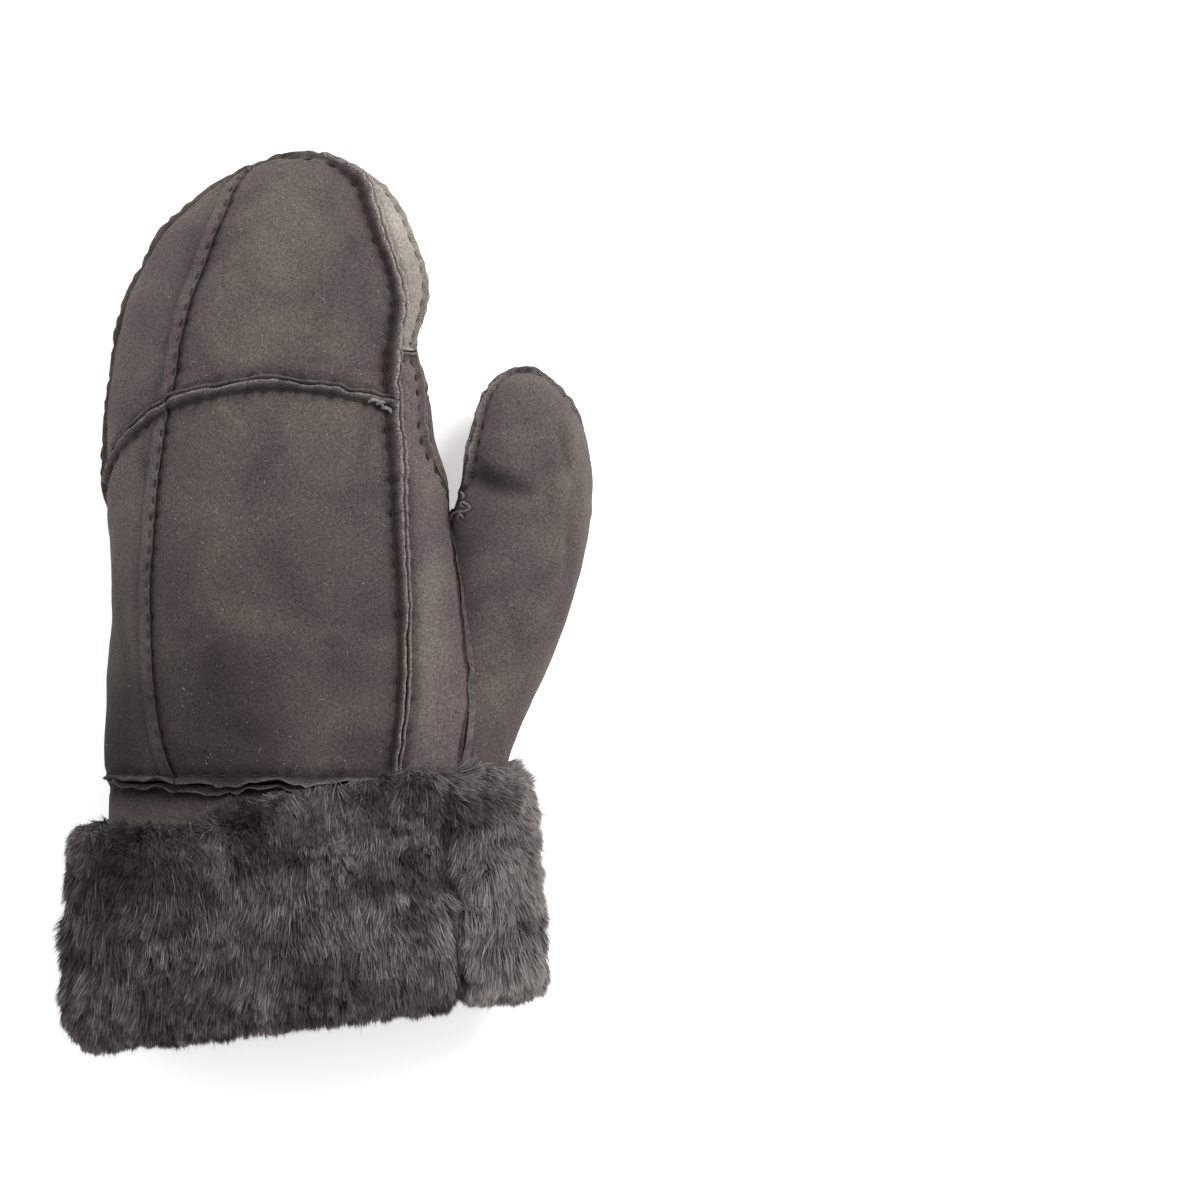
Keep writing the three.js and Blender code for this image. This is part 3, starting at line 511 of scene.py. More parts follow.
def border_effects(grid, spec, base):
    """What all four seams do together: most keep the strongest, and leans and puckers add up."""
    shape = grid["place"].shape
    marks = {key: np.zeros(shape) for key in ("rise", "pale", "pucker", "wave")}
    marks.update(lean=np.zeros(base.shape), shade=np.ones(shape), nearest=np.full(shape, 99.0))
    combine = {"rise": taller, "lean": np.add, "pucker": np.add, "pale": np.maximum,
               "wave": np.maximum, "shade": np.minimum, "nearest": np.minimum}
    for side in (side for side, seam in spec["seams"].items() if seam):
        for key, values in seam_effects(grid, spec, base, side).items():
            marks[key] = combine[key](marks[key], values)
    return marks


# %% [markdown]
# ## Creases
# Worn hide keeps soft dents where the hand bends it.  Each row below is one dent, read off the photo.
# Sculpting them would look the same, but a table stays easy to change.

# %% Creases and dents that the hide keeps
CREASES = [  # x and y of both ends, half breadth, depth: millimetres in plan, on the back
    (55.0, 13.5, 83.0, 5.5, 3.4, 1.2),
    (57.0, 19.0, 74.0, 10.5, 5.0, 0.9),
    (88.0, 28.0, 92.5, 8.0, 1.4, 0.8),
    (92.5, 8.0, 90.0, -18.0, 1.6, 0.9),
    (84.0, 20.0, 88.0, -6.0, 1.8, 0.6),
    (70.0, -22.0, 79.0, -46.0, 3.0, 0.7),
    (-43.0, 22.0, -38.5, 8.0, 2.2, 0.7),
    (30.0, 31.0, 27.0, 14.0, 2.0, 0.5),
    (-6.0, -6.0, 12.0, -30.0, 6.0, 0.6),
    (-22.0, 96.0, -30.0, 60.0, 4.0, 0.5),
    (6.0, 88.0, 16.0, 52.0, 5.0, 0.5),
    (-48.0, -30.0, -44.0, -64.0, 2.6, 0.9),
    (-26.0, -62.0, 2.0, -70.0, 3.4, 0.6),
    (-24.0, 35.5, -9.0, 23.5, 0.8, 0.45),
    (-20.0, 36.0, -10.0, 27.0, 0.6, 0.3),
    (-4.0, 92.0, 3.0, 84.0, 1.6, 0.3),
    (2.0, 58.0, 14.0, 52.0, 1.4, 0.35),
    (8.0, 46.0, 20.0, 50.0, 1.6, 0.3),
]


def crease_depth(points):
    """How deep the creases are below each point, with a soft ridge to either side."""
    total = np.zeros(points.shape[:-1])
    plan = points[..., :2] + noise_vectors(points, (1.2, 12, 8))[..., :2]
    for x0, y0, x1, y1, breadth, depth in CREASES:
        start, run = np.array([x0, y0]), np.array([x1 - x0, y1 - y0])
        share = np.clip(((plan - start) @ run) / (run @ run), 0, 1)
        apart = np.linalg.norm(plan - start - share[..., None] * run, axis=-1) / breadth
        fade = np.sin(np.pi * np.clip(share, 0.04, 0.96)) ** 0.5
        total += depth * fade * (np.exp(-apart ** 2) - 0.35 * np.exp(-(apart - 1.9) ** 2))
    return total


# %% [markdown]
# ## Meshes from arrays
# Every piece is made as arrays of points and of faces, which is much quicker than adding them one by
# one.  A panel is a grid for its outer skin, the same grid one wall lower, and a strip round both.

# %% Meshes from arrays
def place_object(name, data):
    placed = bpy.data.objects.new(name, data)
    bpy.context.scene.collection.objects.link(placed)
    return placed


def mesh_object(name, vertices, faces, attributes=None, maps=None):
    """An object from points in millimetres and a list of face arrays, one for each size of face."""
    mesh = bpy.data.meshes.new(name)
    mesh.vertices.add(len(vertices))
    mesh.vertices.foreach_set("co", (np.asarray(vertices) * MM).astype(np.float32).ravel())
    corners = np.concatenate([np.asarray(group, np.int32).ravel() for group in faces])
    sizes = np.concatenate([np.full(len(group), np.shape(group)[1], np.int32) for group in faces])
    mesh.loops.add(len(corners))
    mesh.loops.foreach_set("vertex_index", corners)
    mesh.polygons.add(len(sizes))
    mesh.polygons.foreach_set("loop_start", np.cumsum(sizes) - sizes)
    mesh.polygons.foreach_set("use_smooth", np.ones(len(sizes), bool))
    mesh.update(calc_edges=True)
    for key, values in (attributes or {}).items():
        layer = mesh.attributes.new(key, "FLOAT", "POINT")
        layer.data.foreach_set("value", np.asarray(values, np.float32).ravel())
    for key, values in (maps or {}).items():
        layer = mesh.uv_layers.new(name=key)
        layer.data.foreach_set("uv", np.asarray(values, np.float32)[corners].ravel())
    return place_object(name, mesh)


def hide_object(name, outer, inner, marks, faces):
    """A wall of hide: an outer grid of points and an inner one, both painted with the same marks."""
    vertices = np.concatenate([outer.reshape(-1, 3), inner.reshape(-1, 3)])
    painted = {key: np.tile(values.ravel(), 2) for key, values in marks.items()}
    return mesh_object(name, vertices, faces, painted)


def grid_faces(rows, columns, offset=0, close=False):
    """Quads of a grid, whose last column joins its first one if it is closed."""
    row = np.arange(rows - 1)[:, None]
    column = np.arange(columns if close else columns - 1)[None, :]
    after = (column + 1) % columns
    corners = [row * columns + column, row * columns + after,
               (row + 1) * columns + after, (row + 1) * columns + column]
    return np.stack([corner.ravel() for corner in corners], -1) + offset


def sheet_faces(rows, columns):
    """Quads of a closed sheet: outer grid, inner grid turned over, and the strips between them."""
    count = rows * columns
    outer = grid_faces(rows, columns)
    inner = grid_faces(rows, columns, count)[:, ::-1]
    index = np.arange(count).reshape(rows, columns)
    loop = np.concatenate([index[0, :-1], index[:-1, -1], index[-1, :0:-1], index[:0:-1, 0]])
    after = np.roll(loop, -1)
    rim = np.stack([after, loop, loop + count, after + count], -1)
    return [np.concatenate([outer, inner, rim])]


def raised(points, floor=0):
    """The same points, none of them lower than the floor."""
    points[..., 2] = np.maximum(points[..., 2], floor)
    return points


def finish_piece(piece, node):
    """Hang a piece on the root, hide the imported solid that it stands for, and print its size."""
    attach(piece, "root")
    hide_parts(node)
    corners = np.array(piece.bound_box) / MM
    print(piece.name, "faces", len(piece.data.polygons), "to", corners.max(0).round(1))
    return piece


# %% [markdown]
# ## The nine panels
# On the real mitten the panels are cut flat and swell where the fur behind them is free, so each one
# is pillowed between its seams.  One function makes them all from their borders and rises.

# %% Places that are rubbed or stained, and painted shade round the thumb's crotch
RUB_CENTRE = (-52, -90)
WRIST_RUB = [(13, 0.22), (38, 0.36), (77, 0.72), (118, 0.9), (152, 1.0)]  # millimetres, share left
SHADE_AND_STAIN_SPOTS = [  # x and y in plan, reach, share of the colour left: painted shade in the tucked-in lip round the crotch of the thumb, then a smudge beside it, partly stain and partly painted shadow
    (56.0, 1.6, 1.8, 0.15), (57.0, 5.0, 1.8, 0.12), (57.8, 9.0, 1.8, 0.12), (58.6, 13.0, 1.8, 0.15),
    (59.6, 16.5, 1.5, 0.4),
    (63.5, 13.5, 4.2, 0.55), (67.5, 11.0, 4.0, 0.62), (72.5, 9.0, 3.6, 0.7), (77.5, 7.2, 2.8, 0.85),
]
SPOT_HEIGHT, SPOT_BLEND = 14, 6  # the spots start above this height and are whole past the blend


def rubbed_wrist(points):
    """Share of the colour left where handling has darkened the little finger's side."""
    apart = np.linalg.norm(points[..., :2] - RUB_CENTRE, axis=-1)
    return table_value(WRIST_RUB, apart + 15 * noise(points, 26, 13))


def shade_and_stain_spots(points):
    """Share of the colour left near the thumb: painted shade where the hide is tucked in, and a smudge of
    stain and painted shadow.
    """
    left = np.ones(points.shape[:-1])
    for x, y, reach, share in SHADE_AND_STAIN_SPOTS:
        apart = np.linalg.norm(points[..., :2] - (x, y), axis=-1) / reach
        left = left * (1 - (1 - share) * np.exp(-apart ** 2))
    upper = np.clip((points[..., 2] - SPOT_HEIGHT) / SPOT_BLEND, 0, 1)
    return 1 - (1 - left) * upper


# %% Make one panel
SKINS = {}
STANDING_EDGE = 1.6  # millimetres in from a border within which a lip stands upright
PLAIN_BORDER = 1.2  # millimetres in from a border that stay free of dents


def panel_base(grid, spec):
    """A panel's smooth skin, swollen between its seams, with its outward normals."""
    angle, place = grid["angle"], grid["place"]
    normal = surface_frame(spec["point"], angle, place, spec["last"])[0]
    across = grid["left"] / np.maximum(grid["left"] + grid["right"], 1e-6)
    along = grid["bottom"] / np.maximum(grid["bottom"] + grid["top"], 1e-6)
    swell = (np.sin(np.pi * across) * np.sin(np.pi * along)).clip(0) ** 0.6
    swell = normal * (swell * spec["pillow"] * PILLOW_RISE)[..., None]
    return spec["point"](angle, place) + swell, normal


def panel_relief(spec, base, marks):
    """How far each point stands off the smooth skin.  Creases also darken the hide a little, as painted
    shade.
    """
    rise = marks["rise"]
    uneven = 0.55 * noise(base, 24, 1) + 0.22 * noise(base, 9, 2) + 0.05 * noise(base, 2.4, 7)
    inside = np.clip((marks["nearest"] - PLAIN_BORDER) / 5, 0, 1)
    height = rise + inside * uneven + marks["pucker"] * (rise < 0.5)
    if spec["back"]:
        creases = inside * crease_depth(base)
        height = height - creases
        # painted shade: the colour darkens where a crease dips
        marks["shade"] = marks["shade"] * (1 - 0.3 * creases.clip(0, 2))
    return height


def rising_way(grid, spec, normal):
    """Which way the relief stands: outwards, but upright where a lip meets the other lip."""
    way = normal.copy()
    if spec.get("upright"):
        side, up_to = spec["upright"]
        stands = (grid[side] < STANDING_EDGE) & (grid["place"] <= up_to)
        way[stands] = (0, 0, 1 if spec["back"] else -1)
    return way


def make_panel(name, spec):
    grid = panel_grid(spec)
    base, normal = panel_base(grid, spec)
    marks = border_effects(grid, spec, base)
    base = raised(base + (0, 0, SEAM_GAP / 2 * (1 if spec["back"] else -1)))
    height = panel_relief(spec, base, marks)
    # The shade mark is painted shade from the seams, dents, creases and crotch, times the real rubbing and
    # the panel's own tone.
    left = shade_and_stain_spots(base) * rubbed_wrist(base)
    painted = {"shade": marks["shade"] * left * spec.get("tone", 1), "pale": marks["pale"] * left}
    sway = noise_vectors(base, (0.5, 5.5, 20), (0.8, 15, 24)) * marks["wave"][..., None]
    relief = rising_way(grid, spec, normal) * height[..., None]
    outer = raised(base + relief + sway + marks["lean"])
    inner = base - normal * WALL
    sew_panel(name, spec, outer, base, normal)
    SKINS[name] = outer, normal
    piece = hide_object(name + "_suede", outer, inner, painted, sheet_faces(*height.shape))
    close_tips(piece.data)
    return piece


def close_tips(mesh):
    """Merge the points that a panel's pointed end brings together."""
    shape = bmesh.new()
    shape.from_mesh(mesh)
    bmesh.ops.remove_doubles(shape, verts=shape.verts, dist=0.02 * MM)
    bmesh.ops.dissolve_degenerate(shape, edges=shape.edges, dist=0.01 * MM)
    shape.to_mesh(mesh)
    shape.free()


# %% [markdown]
# ## Stitches
# Waxed thread runs along each seam, just below the raw edge.  Only its visible lengths are made: one
# small spindle for each stitch, laid on the finished skin so that it sinks into its own dent.

# %% Stitches
STITCH_LENGTH = 2.7
STITCH_THICK = 0.5
STITCH_POINT = 0.5  # length over which each end of a stitch narrows
STITCH_SIDES = 5
STITCHES = {}


def sew_line(line, run, normal):
    """Ends and normals of the stitches along one line of a panel's skin."""
    middle = np.arange(STITCH_PITCH, run[-1] - STITCH_PITCH / 2, STITCH_PITCH)
    half = STITCH_LENGTH / 2
    return (points_at(middle - half, run, line), points_at(middle + half, run, line),
            points_at(middle, run, normal))


def sew_panel(name, spec, outer, base, normal):
    """Note the stitches along each raised border of a panel."""
    sewn = []
    for side, seam in spec["seams"].items():
        if not (seam and SEAMS[seam]["thread"]):
            continue
        axis = 0 if side in ("left", "right") else 1
        column = int(np.argmin(np.abs(INSETS - SEAMS[seam]["hole"])))
        index = column if side in ("left", "bottom") else -1 - column
        run = np.take(run_along(base, axis), index, 1 - axis)
        sewn.append(sew_line(np.take(outer, index, 1 - axis), run, np.take(normal, index, 1 - axis)))
    STITCHES[name] = [np.concatenate(part) for part in zip(*sewn)]


def make_stitches(name, sewn):
    """Thread: each stitch is a spindle, half sunk into the hide."""
    start, end, normal = sewn
    along = unit(end - start)
    side = unit(np.cross(along, normal))
    sides = STITCH_SIDES
    angle = 2 * np.pi * np.arange(sides)[:, None] / sides
    circle = (side[:, None] * np.cos(angle) + normal[:, None] * np.sin(angle)) * STITCH_THICK / 2
    shoulder = (along * STITCH_POINT)[:, None]
    rings = [start[:, None], start[:, None] + shoulder + circle, end[:, None] - shoulder + circle,
             end[:, None]]
    points = raised(np.concatenate(rings, 1))
    first = np.arange(len(start))[:, None, None] * (2 * sides + 2)
    k = np.arange(sides)
    after = (k + 1) % sides
    low, high, tip = 1 + k, 1 + sides + k, 2 * sides + 1 + 0 * k
    caps = [np.stack([0 * k, 1 + after, low], -1), np.stack([tip, high, 1 + sides + after], -1)]
    walls = np.stack([low, 1 + after, 1 + sides + after, high], -1)
    faces = [(first + part).reshape(-1, part.shape[1]) for part in (*caps, walls)]
    return mesh_object(name, points.reshape(-1, 3), faces)


# %% [markdown]
# ## The panels' borders
# One entry for each panel says which seams bound it, how fine its grid is and what each seam is like.
# Its tone is a share of the hide's colour.  Where three panels meet, a seam has to fade out, or its
# edge would pile up in a knot, so some entries fade it.

# %% The panels' borders
def edges(left, right, bottom, top):
    return {"left": left, "right": right, "bottom": bottom, "top": top}


def faded(coordinate, start, *steps):
    """Shares of a seam's rise at steps past a row or an angle."""
    return coordinate, [(start + step, share) for step, share in steps]


TO_THUMB, TO_TIPS = (1.2, 0.0), (0.0, 1.2)  # how far a raw edge leans, in plan
TIP_FADE = faded("place", HAND_TIP, (-1.7, 1), (-0.4, 0.25), (0, 0))
THUMB_END_FADE = faded("place", THUMB_TIP, (-4.5, 0), (-2.5, 1))
SIDE_FADE = faded("angle", 0, (-0.1, 0.3), (0.75, 1))
PALM_CROTCH_FADE = faded("place", CROTCH_ROW, (0, 1), (0.6, 0.25), (1.6, 0.3), (3, 1))
THUMB_CROTCH_FADE = faded("place", THUMB_CROTCH, (0, 1), (0.8, 0.35), (1.8, 0.5), (3, 1))
PANELS = {
    "side_panel": dict(
        angles=(UNDER_SIDE, OUTER_SEAM), places=(WRIST, knuckle_place), columns=30, rows=84,
        seams=edges(None, "lap", "wrist", "welt"), leans={"top": TO_TIPS}, pillow=0.5, tone=1.12,
        fades={"top": SIDE_FADE, "bottom": SIDE_FADE}),
    "back_panel": dict(
        angles=(OUTER_SEAM, INNER_SEAM), places=(WRIST, knuckle_place), columns=56, rows=90,
        seams=edges("under", "welt", "wrist", "welt"), leans={"top": TO_TIPS, "right": TO_THUMB},
        pillow=1, tone=0.9, pales={"right": 1.5}),
    "inner_gusset": dict(
        angles=(INNER_SEAM, PALM_EDGE), places=(WRIST, CROSS_SEAM), columns=20, rows=104,
        seams=edges("welt", "rim", "wrist", "rim"), leans={"left": TO_THUMB}, pillow=0.3, tone=1.4,
        upright=("right", CROTCH_ROW + 1.5)),
    "side_tip_panel": dict(
        angles=(OUTER_RIM, OUTER_SEAM), places=(knuckle_place, OUTER_SEAM_END), columns=30, rows=70,
        seams=edges("rim", "lap", "welt", "rim"), leans={"bottom": TO_TIPS}, pillow=0.5,
        pales={"bottom": 0.3}, fades={"bottom": SIDE_FADE}),
    "back_tip_panel": dict(
        angles=(OUTER_SEAM, INNER_SEAM), places=(knuckle_place, HAND_END), columns=50, rows=70,
        seams=edges("under", "welt", "welt", "rim"), leans={"bottom": TO_TIPS, "right": TO_THUMB},
        pillow=1, tone=0.88, pales={"bottom": 0.3, "right": 2.0}, fades={"right": TIP_FADE}),
    "tip_gusset": dict(
        angles=(INNER_SEAM, INNER_RIM), places=(CROSS_SEAM, HAND_END), columns=12, rows=58,
        seams=edges("welt", "rim", "rim", "rim"), leans={"left": TO_THUMB}, pillow=0.3, tone=1.32,
        pales={"left": 1.2}, fades={"left": TIP_FADE}),
    "palm_panel": dict(
        angles=(PALM_START, UNDER_SIDE), places=(WRIST, HAND_END), columns=56, rows=90,
        seams=edges("rim", "rim", "rim", "rim"), pillow=0, back=False,
        upright=("left", CROTCH_ROW + 0.6), fades={"left": PALM_CROTCH_FADE}),
    "thumb_back": dict(
        angles=(THUMB_SEAM, THUMB_FOLD), places=(WRIST, THUMB_END), columns=44, rows=90,
        seams=edges("thumb_rim", "thumb_end", "rim", "rim"), pillow=0, tone=0.97,
        upright=("left", THUMB_CROTCH + 1.2),
        fades={"left": THUMB_CROTCH_FADE, "right": THUMB_END_FADE}),
    "thumb_palm": dict(
        angles=(THUMB_FOLD, THUMB_ROUND), places=(WRIST, THUMB_END), columns=28, rows=80,
        seams=edges("thumb_end", "thumb_rim", "rim", "rim"), pillow=0, back=False,
        upright=("right", THUMB_CROTCH + 1.2),
        fades={"left": THUMB_END_FADE, "right": THUMB_CROTCH_FADE}),
}
SUEDE_PIECES = {}
for name, spec in PANELS.items():
    of_thumb = name.startswith("thumb")
    spec.update(point=thumb_point if of_thumb else hand_point, back=spec.get("back", True),
                last=THUMB_TIP if of_thumb else HAND_TIP)
    SUEDE_PIECES[name] = finish_piece(make_panel(name, spec), name)

STITCH_PIECES = [finish_piece(make_stitches(name + "_stitches", sewn), name)
                 for name, sewn in STITCHES.items()]

# %% [markdown]
# ## Frayed ends
# Where two seams meet, the cut ends of the hide curl up in pale shreds: one knot lies at the end of
# the knuckle seam, and a frill at the crotch of the thumb.  Each shred is a thin tube along a few
# chosen points, which takes its height from the skin below, so it lies on the hide and not in it.

# %% Shreds of hide at the ends of the seams
SHREDS = {  # thickness, then x and y that each curled shred passes, millimetres in plan
    "back_tip_panel_shreds": (1.15, [[(29.4, 35.2), (30.8, 35.9), (32.4, 35.6), (33.5, 34.7),
                                      (34.1, 33.6)],
                                     [(31.9, 34.5), (33.1, 35.2), (34.7, 35.2)],
                                     [(33.4, 33.4), (34.8, 33.5), (36.0, 32.9), (36.5, 31.9)]]),
    "thumb_back_shreds": (0.75, [[(54.4, -0.8), (55.2, 1.0), (56.9, 1.6), (58.9, 1.7), (60.6, 2.7),
                                  (59.7, 3.9), (58.2, 4.5), (57.6, 3.7), (59.0, 2.8)],
                                 [(56.6, -1.0), (57.4, 1.0), (58.6, -0.4)],
                                 [(57.6, 7.8), (58.6, 6.6), (58.0, 5.6)]]),
}
SHRED_SIDES = 6
SHRED_STEPS = 6  # rings to each corner of a path
SHRED_REACH = 1.6  # millimetres within which the skin is searched for its height


def skin_height(spots):
    """The highest skin near each spot in plan."""
    skin = np.concatenate([outer.reshape(-1, 3) for outer, _ in SKINS.values()])
    heights = []
    for spot in spots:
        near = np.linalg.norm(skin[:, :2] - spot, axis=1) < SHRED_REACH
        heights.append(skin[near, 2].max() if near.any() else 0)
    return np.array(heights)


def shred_points(corners):
    """A smooth path over the skin through given corners."""
    columns = np.array(corners).T
    place = np.linspace(0, len(corners) - 1, SHRED_STEPS * len(corners))
    plan = np.stack([curve_at(column, place) for column in columns], -1)
    height = np.interp(place, np.arange(len(corners)), skin_height(np.array(corners)))
    height = height + 0.2 + 0.25 * noise(np.insert(plan, 2, 0, axis=1), 2, 51)
    return np.column_stack([plan, height])


def make_shreds(name, thick, paths):
    """Thin tubes, flattened a little, along the paths."""
    vertices, faces, first = [], [], 0
    angle = 2 * np.pi * np.arange(SHRED_SIDES) / SHRED_SIDES
    for corners in paths:
        line = shred_points(corners)
        along = unit(np.gradient(line, axis=0))
        side = unit(np.cross(along, (0, 0, 1)))
        above = np.cross(side, along)
        taper = np.minimum(1, 0.35 + np.sin(np.linspace(0, np.pi, len(line))))[:, None, None]
        circle = side[:, None] * np.cos(angle)[:, None] + 0.8 * above[:, None] * np.sin(angle)[:, None]
        vertices.append((line[:, None] + circle * taper * thick / 2).reshape(-1, 3))
        faces.append(grid_faces(len(line), SHRED_SIDES, first, True))
        last = first + (len(line) - 1) * SHRED_SIDES
        ring = np.arange(SHRED_SIDES)[None, :]
        faces.extend([ring + first, ring[:, ::-1] + last])
        first += len(line) * SHRED_SIDES
    marks = {"pale": np.zeros(first), "shade": np.ones(first)}
    return mesh_object(name, np.concatenate(vertices), faces, marks)


SHRED_PIECES = {name: finish_piece(make_shreds(name, *row), name.removesuffix("_shreds"))
                for name, row in SHREDS.items()}


# %% [markdown]
# ## The fold in the thumb's seam
# The hide of the thumb and of the palm are folded inwards where they meet, which closes the slit
# between them.  One roll just below the slit shows the same, painted dark as the shade in the slit, and no
# light can come through.

# %% The hide folded inwards along the thumb's seam
# Its shade is painted shade: the share of the hide's colour left on the roll.
SEAM_FOLD = dict(steps=60, sides=12, low=1.6, half_width=1.3, half_height=1.9, shade=0.3)
CROTCH_FOLD = dict(past=0.55, half_width=1.9, end_width=0.6)


def make_shaded_seam_fold():
    """A roll of hide below the slit between the hand and the thumb, up to the crotch, painted dark as shade.
    """
    place = np.linspace(0, THUMB_CROTCH + CROTCH_FOLD["past"], SEAM_FOLD["steps"])
    line = thumb_point(THUMB_SEAM(place), place) - (SEAM_GAP / 2, 0, SEAM_FOLD["low"])
    wide = np.interp(place, [THUMB_CROTCH - 0.5, THUMB_CROTCH, place[-1]],
                     [SEAM_FOLD["half_width"], CROTCH_FOLD["half_width"], CROTCH_FOLD["end_width"]])
    turn = 2 * np.pi * np.arange(SEAM_FOLD["sides"]) / SEAM_FOLD["sides"]
    across = wide[:, None, None] * np.cos(turn)[None, :, None] * (1, 0, 0)
    up = SEAM_FOLD["half_height"] * np.sin(turn)[None, :, None] * np.array((0, 0, 1))
    points = (line[:, None] + across + up).reshape(-1, 3)
    ring = np.arange(len(turn))[None, :]
    faces = [grid_faces(len(place), len(turn), 0, True), ring[:, ::-1], ring + len(points) - len(turn)]
    marks = {"pale": np.zeros(len(points)), "shade": np.full(len(points), SEAM_FOLD["shade"])}
    return mesh_object("thumb_seam_shaded_fold", points, faces, marks)


SUEDE_PIECES["thumb_seam_shaded_fold"] = finish_piece(make_shaded_seam_fold(), "thumb_back")

# %% [markdown]
# ## Lint
# Short wool fibres cling all over the nap.  They are narrow bent strips scattered over the skins'
# grids.  At a tenth of a millimetre they need no thickness, and a texture would blur them up close.

# %% Lint on the nap
LINT_COUNTS = {"side_panel": 50, "back_panel": 240, "inner_gusset": 50, "side_tip_panel": 30,
               "back_tip_panel": 110, "tip_gusset": 10, "thumb_back": 70}
LINT_LENGTH = 0.8
LINT_BREADTH = 0.12
LINT_STEPS = 4
LINT_LIFT = 0.22
LINT_SEED = 300


def make_lint(name, count, seed):
    """Bent strips lying on one panel's skin."""
    rng = np.random.default_rng(seed)
    outer, normal = SKINS[name]
    row = rng.integers(EDGE_STEPS, outer.shape[0] - EDGE_STEPS, count)
    column = rng.integers(EDGE_STEPS, outer.shape[1] - EDGE_STEPS, count)
    spot, up = outer[row, column], normal[row, column]
    way = unit(np.cross(up, rng.normal(size=(count, 3))))
    across = np.cross(up, way)
    length = LINT_LENGTH * (0.3 + rng.exponential(0.6, count)).clip(0, 2.6)
    curl = rng.normal(0, 0.5, count)
    share = np.linspace(-0.5, 0.5, LINT_STEPS)
    line = (spot[:, None] + way[:, None] * (share * length[:, None])[..., None]
            + across[:, None] * (share ** 2 * (curl * length)[:, None])[..., None] + up[:, None] * LINT_LIFT)
    half = across[:, None] * (LINT_BREADTH / 2 * np.cos(share * 2.4))[None, :, None]
    points = np.stack([line - half, line + half], 2).reshape(-1, 3)
    first = (np.arange(count) * 2 * LINT_STEPS)[:, None] + 2 * np.arange(LINT_STEPS - 1)
    faces = first.reshape(-1, 1) + np.array([0, 1, 3, 2])
    return mesh_object(name + "_lint", points, [faces])


LINT_PIECES = [finish_piece(make_lint(name, count, LINT_SEED + number), name)
               for number, (name, count) in enumerate(LINT_COUNTS.items())]

# %% [markdown]
# ## The wrist band and the turned-back cuff
# The hide runs on past the wrist seam as a plain band, turns outwards at the fold and comes back up
# outside itself.  A loop round the wrist carries both, so they follow the same outline.

# %% The loop round the wrist
CUFF_DEPTH = 67  # from the wrist seam to the fold, on the line of the origin
CUFF_SLANT = 0.126  # rise of the fold towards the thumb, for each millimetre across
CUFF_FLARE = 0.04  # share by which the wrist widens down to the fold
EDGE_DROP = 7  # from the wrist seam to the cuff's free edge, on the line of the origin
EDGE_SLANT = 0.14
BAND_REACH = 0.88  # share of the way to the fold at which the wrist band ends
LINING_START = 0.4  # share of the way to the fold at which the lining starts to show
LOOP_COUNT = 288
EASING_ROUNDS = 40
VALLEY = 0.2  # angle left out of the thumb's section where it meets the hand's


def wrist_loop():
    """Points spaced evenly round the wrist where the panels end, its sharp valleys eased."""
    turns = [(hand_point, 0, np.pi, 200), (thumb_point, VALLEY, np.pi, 80),
             (thumb_point, np.pi, 2 * np.pi - VALLEY, 80), (hand_point, -np.pi, 0, 200)]
    outline = np.concatenate([point(np.linspace(start, end, count, endpoint=False), 0.0)
                              for point, start, end, count in turns])[:, [0, 2]]
    outline = np.concatenate([outline, outline[:1]])
    run = np.concatenate([[0], np.cumsum(np.linalg.norm(np.diff(outline, axis=0), axis=1))])
    even = np.linspace(0, run[-1], LOOP_COUNT, endpoint=False)
    loop = points_at(even, run, outline)
    for _ in range(EASING_ROUNDS):
        loop = (2 * loop + np.roll(loop, 1, 0) + np.roll(loop, -1, 0)) / 4
    return loop, run[-1]


LOOP, LOOP_LENGTH = wrist_loop()
LOOP_CENTRE = LOOP.mean(0)
LOOP_RUN = np.roll(LOOP, -1, 0) - np.roll(LOOP, 1, 0)
LOOP_OUT = unit(np.stack([-LOOP_RUN[:, 1], LOOP_RUN[:, 0]], -1))
print("round the wrist, mm", round(LOOP_LENGTH))


def around(values, turn):
    """Values of the loop at shares of a turn."""
    place = np.asarray(turn) % 1 * LOOP_COUNT
    index = np.floor(place).astype(int)
    share = (place - index)[..., None]
    return values[index % LOOP_COUNT] * (1 - share) + values[(index + 1) % LOOP_COUNT] * share


def fold_y(x):
    return WRIST_Y - CUFF_DEPTH + CUFF_SLANT * x


def edge_y(x):
    return WRIST_Y - EDGE_DROP + EDGE_SLANT * x


def ring_point(turn, out, y):
    """Points round the wrist, out from its outline, where the cuff has flared a little."""
    flat = around(LOOP, turn)
    scale = 1 + CUFF_FLARE * (WRIST_Y - y) / CUFF_DEPTH
    flat = (flat - LOOP_CENTRE) * scale[..., None] + LOOP_CENTRE
    flat = flat + unit(around(LOOP_OUT, turn)) * np.asarray(out)[..., None]
    return np.stack([flat[..., 0], y, flat[..., 1]], -1)


# %% [markdown]
# ## The wrist band
# Only a sliver of the band shows, between the wrist seam and the fur.  Its upper edge is the other
# lip of the wrist seam, so it takes the same profile and sways by the same noise as the panels' lips.

# %% The wrist band
BAND_ROWS = np.linspace(5, 58, 14)  # millimetres down, below the rows of the edge's own profile
# painted shade: the band darkens between the lips and in the groove under the wrist seam
BAND_SHADES = [(0.2, 0.4), (0.62, 1.0), (1.5, 0.3), (3.4, 0.34), (5.5, 0.9)]
RUB_DEPTH = 11  # millimetres down at which the band is no longer rubbed dark


def tube_faces(rows, columns):
    """Quads of a tube's outer skin, of its inner one, and of the strips that close both ends."""
    count = rows * columns
    index = np.arange(count).reshape(rows, columns)
    faces = [grid_faces(rows, columns, 0, True)[:, ::-1], grid_faces(rows, columns, count, True)]
    for row, flip in ((0, 1), (-1, -1)):
        loop, after = index[row], np.roll(index[row], -1)
        faces.append(np.stack([loop, after, after + count, loop + count], -1)[:, ::flip])
    return faces


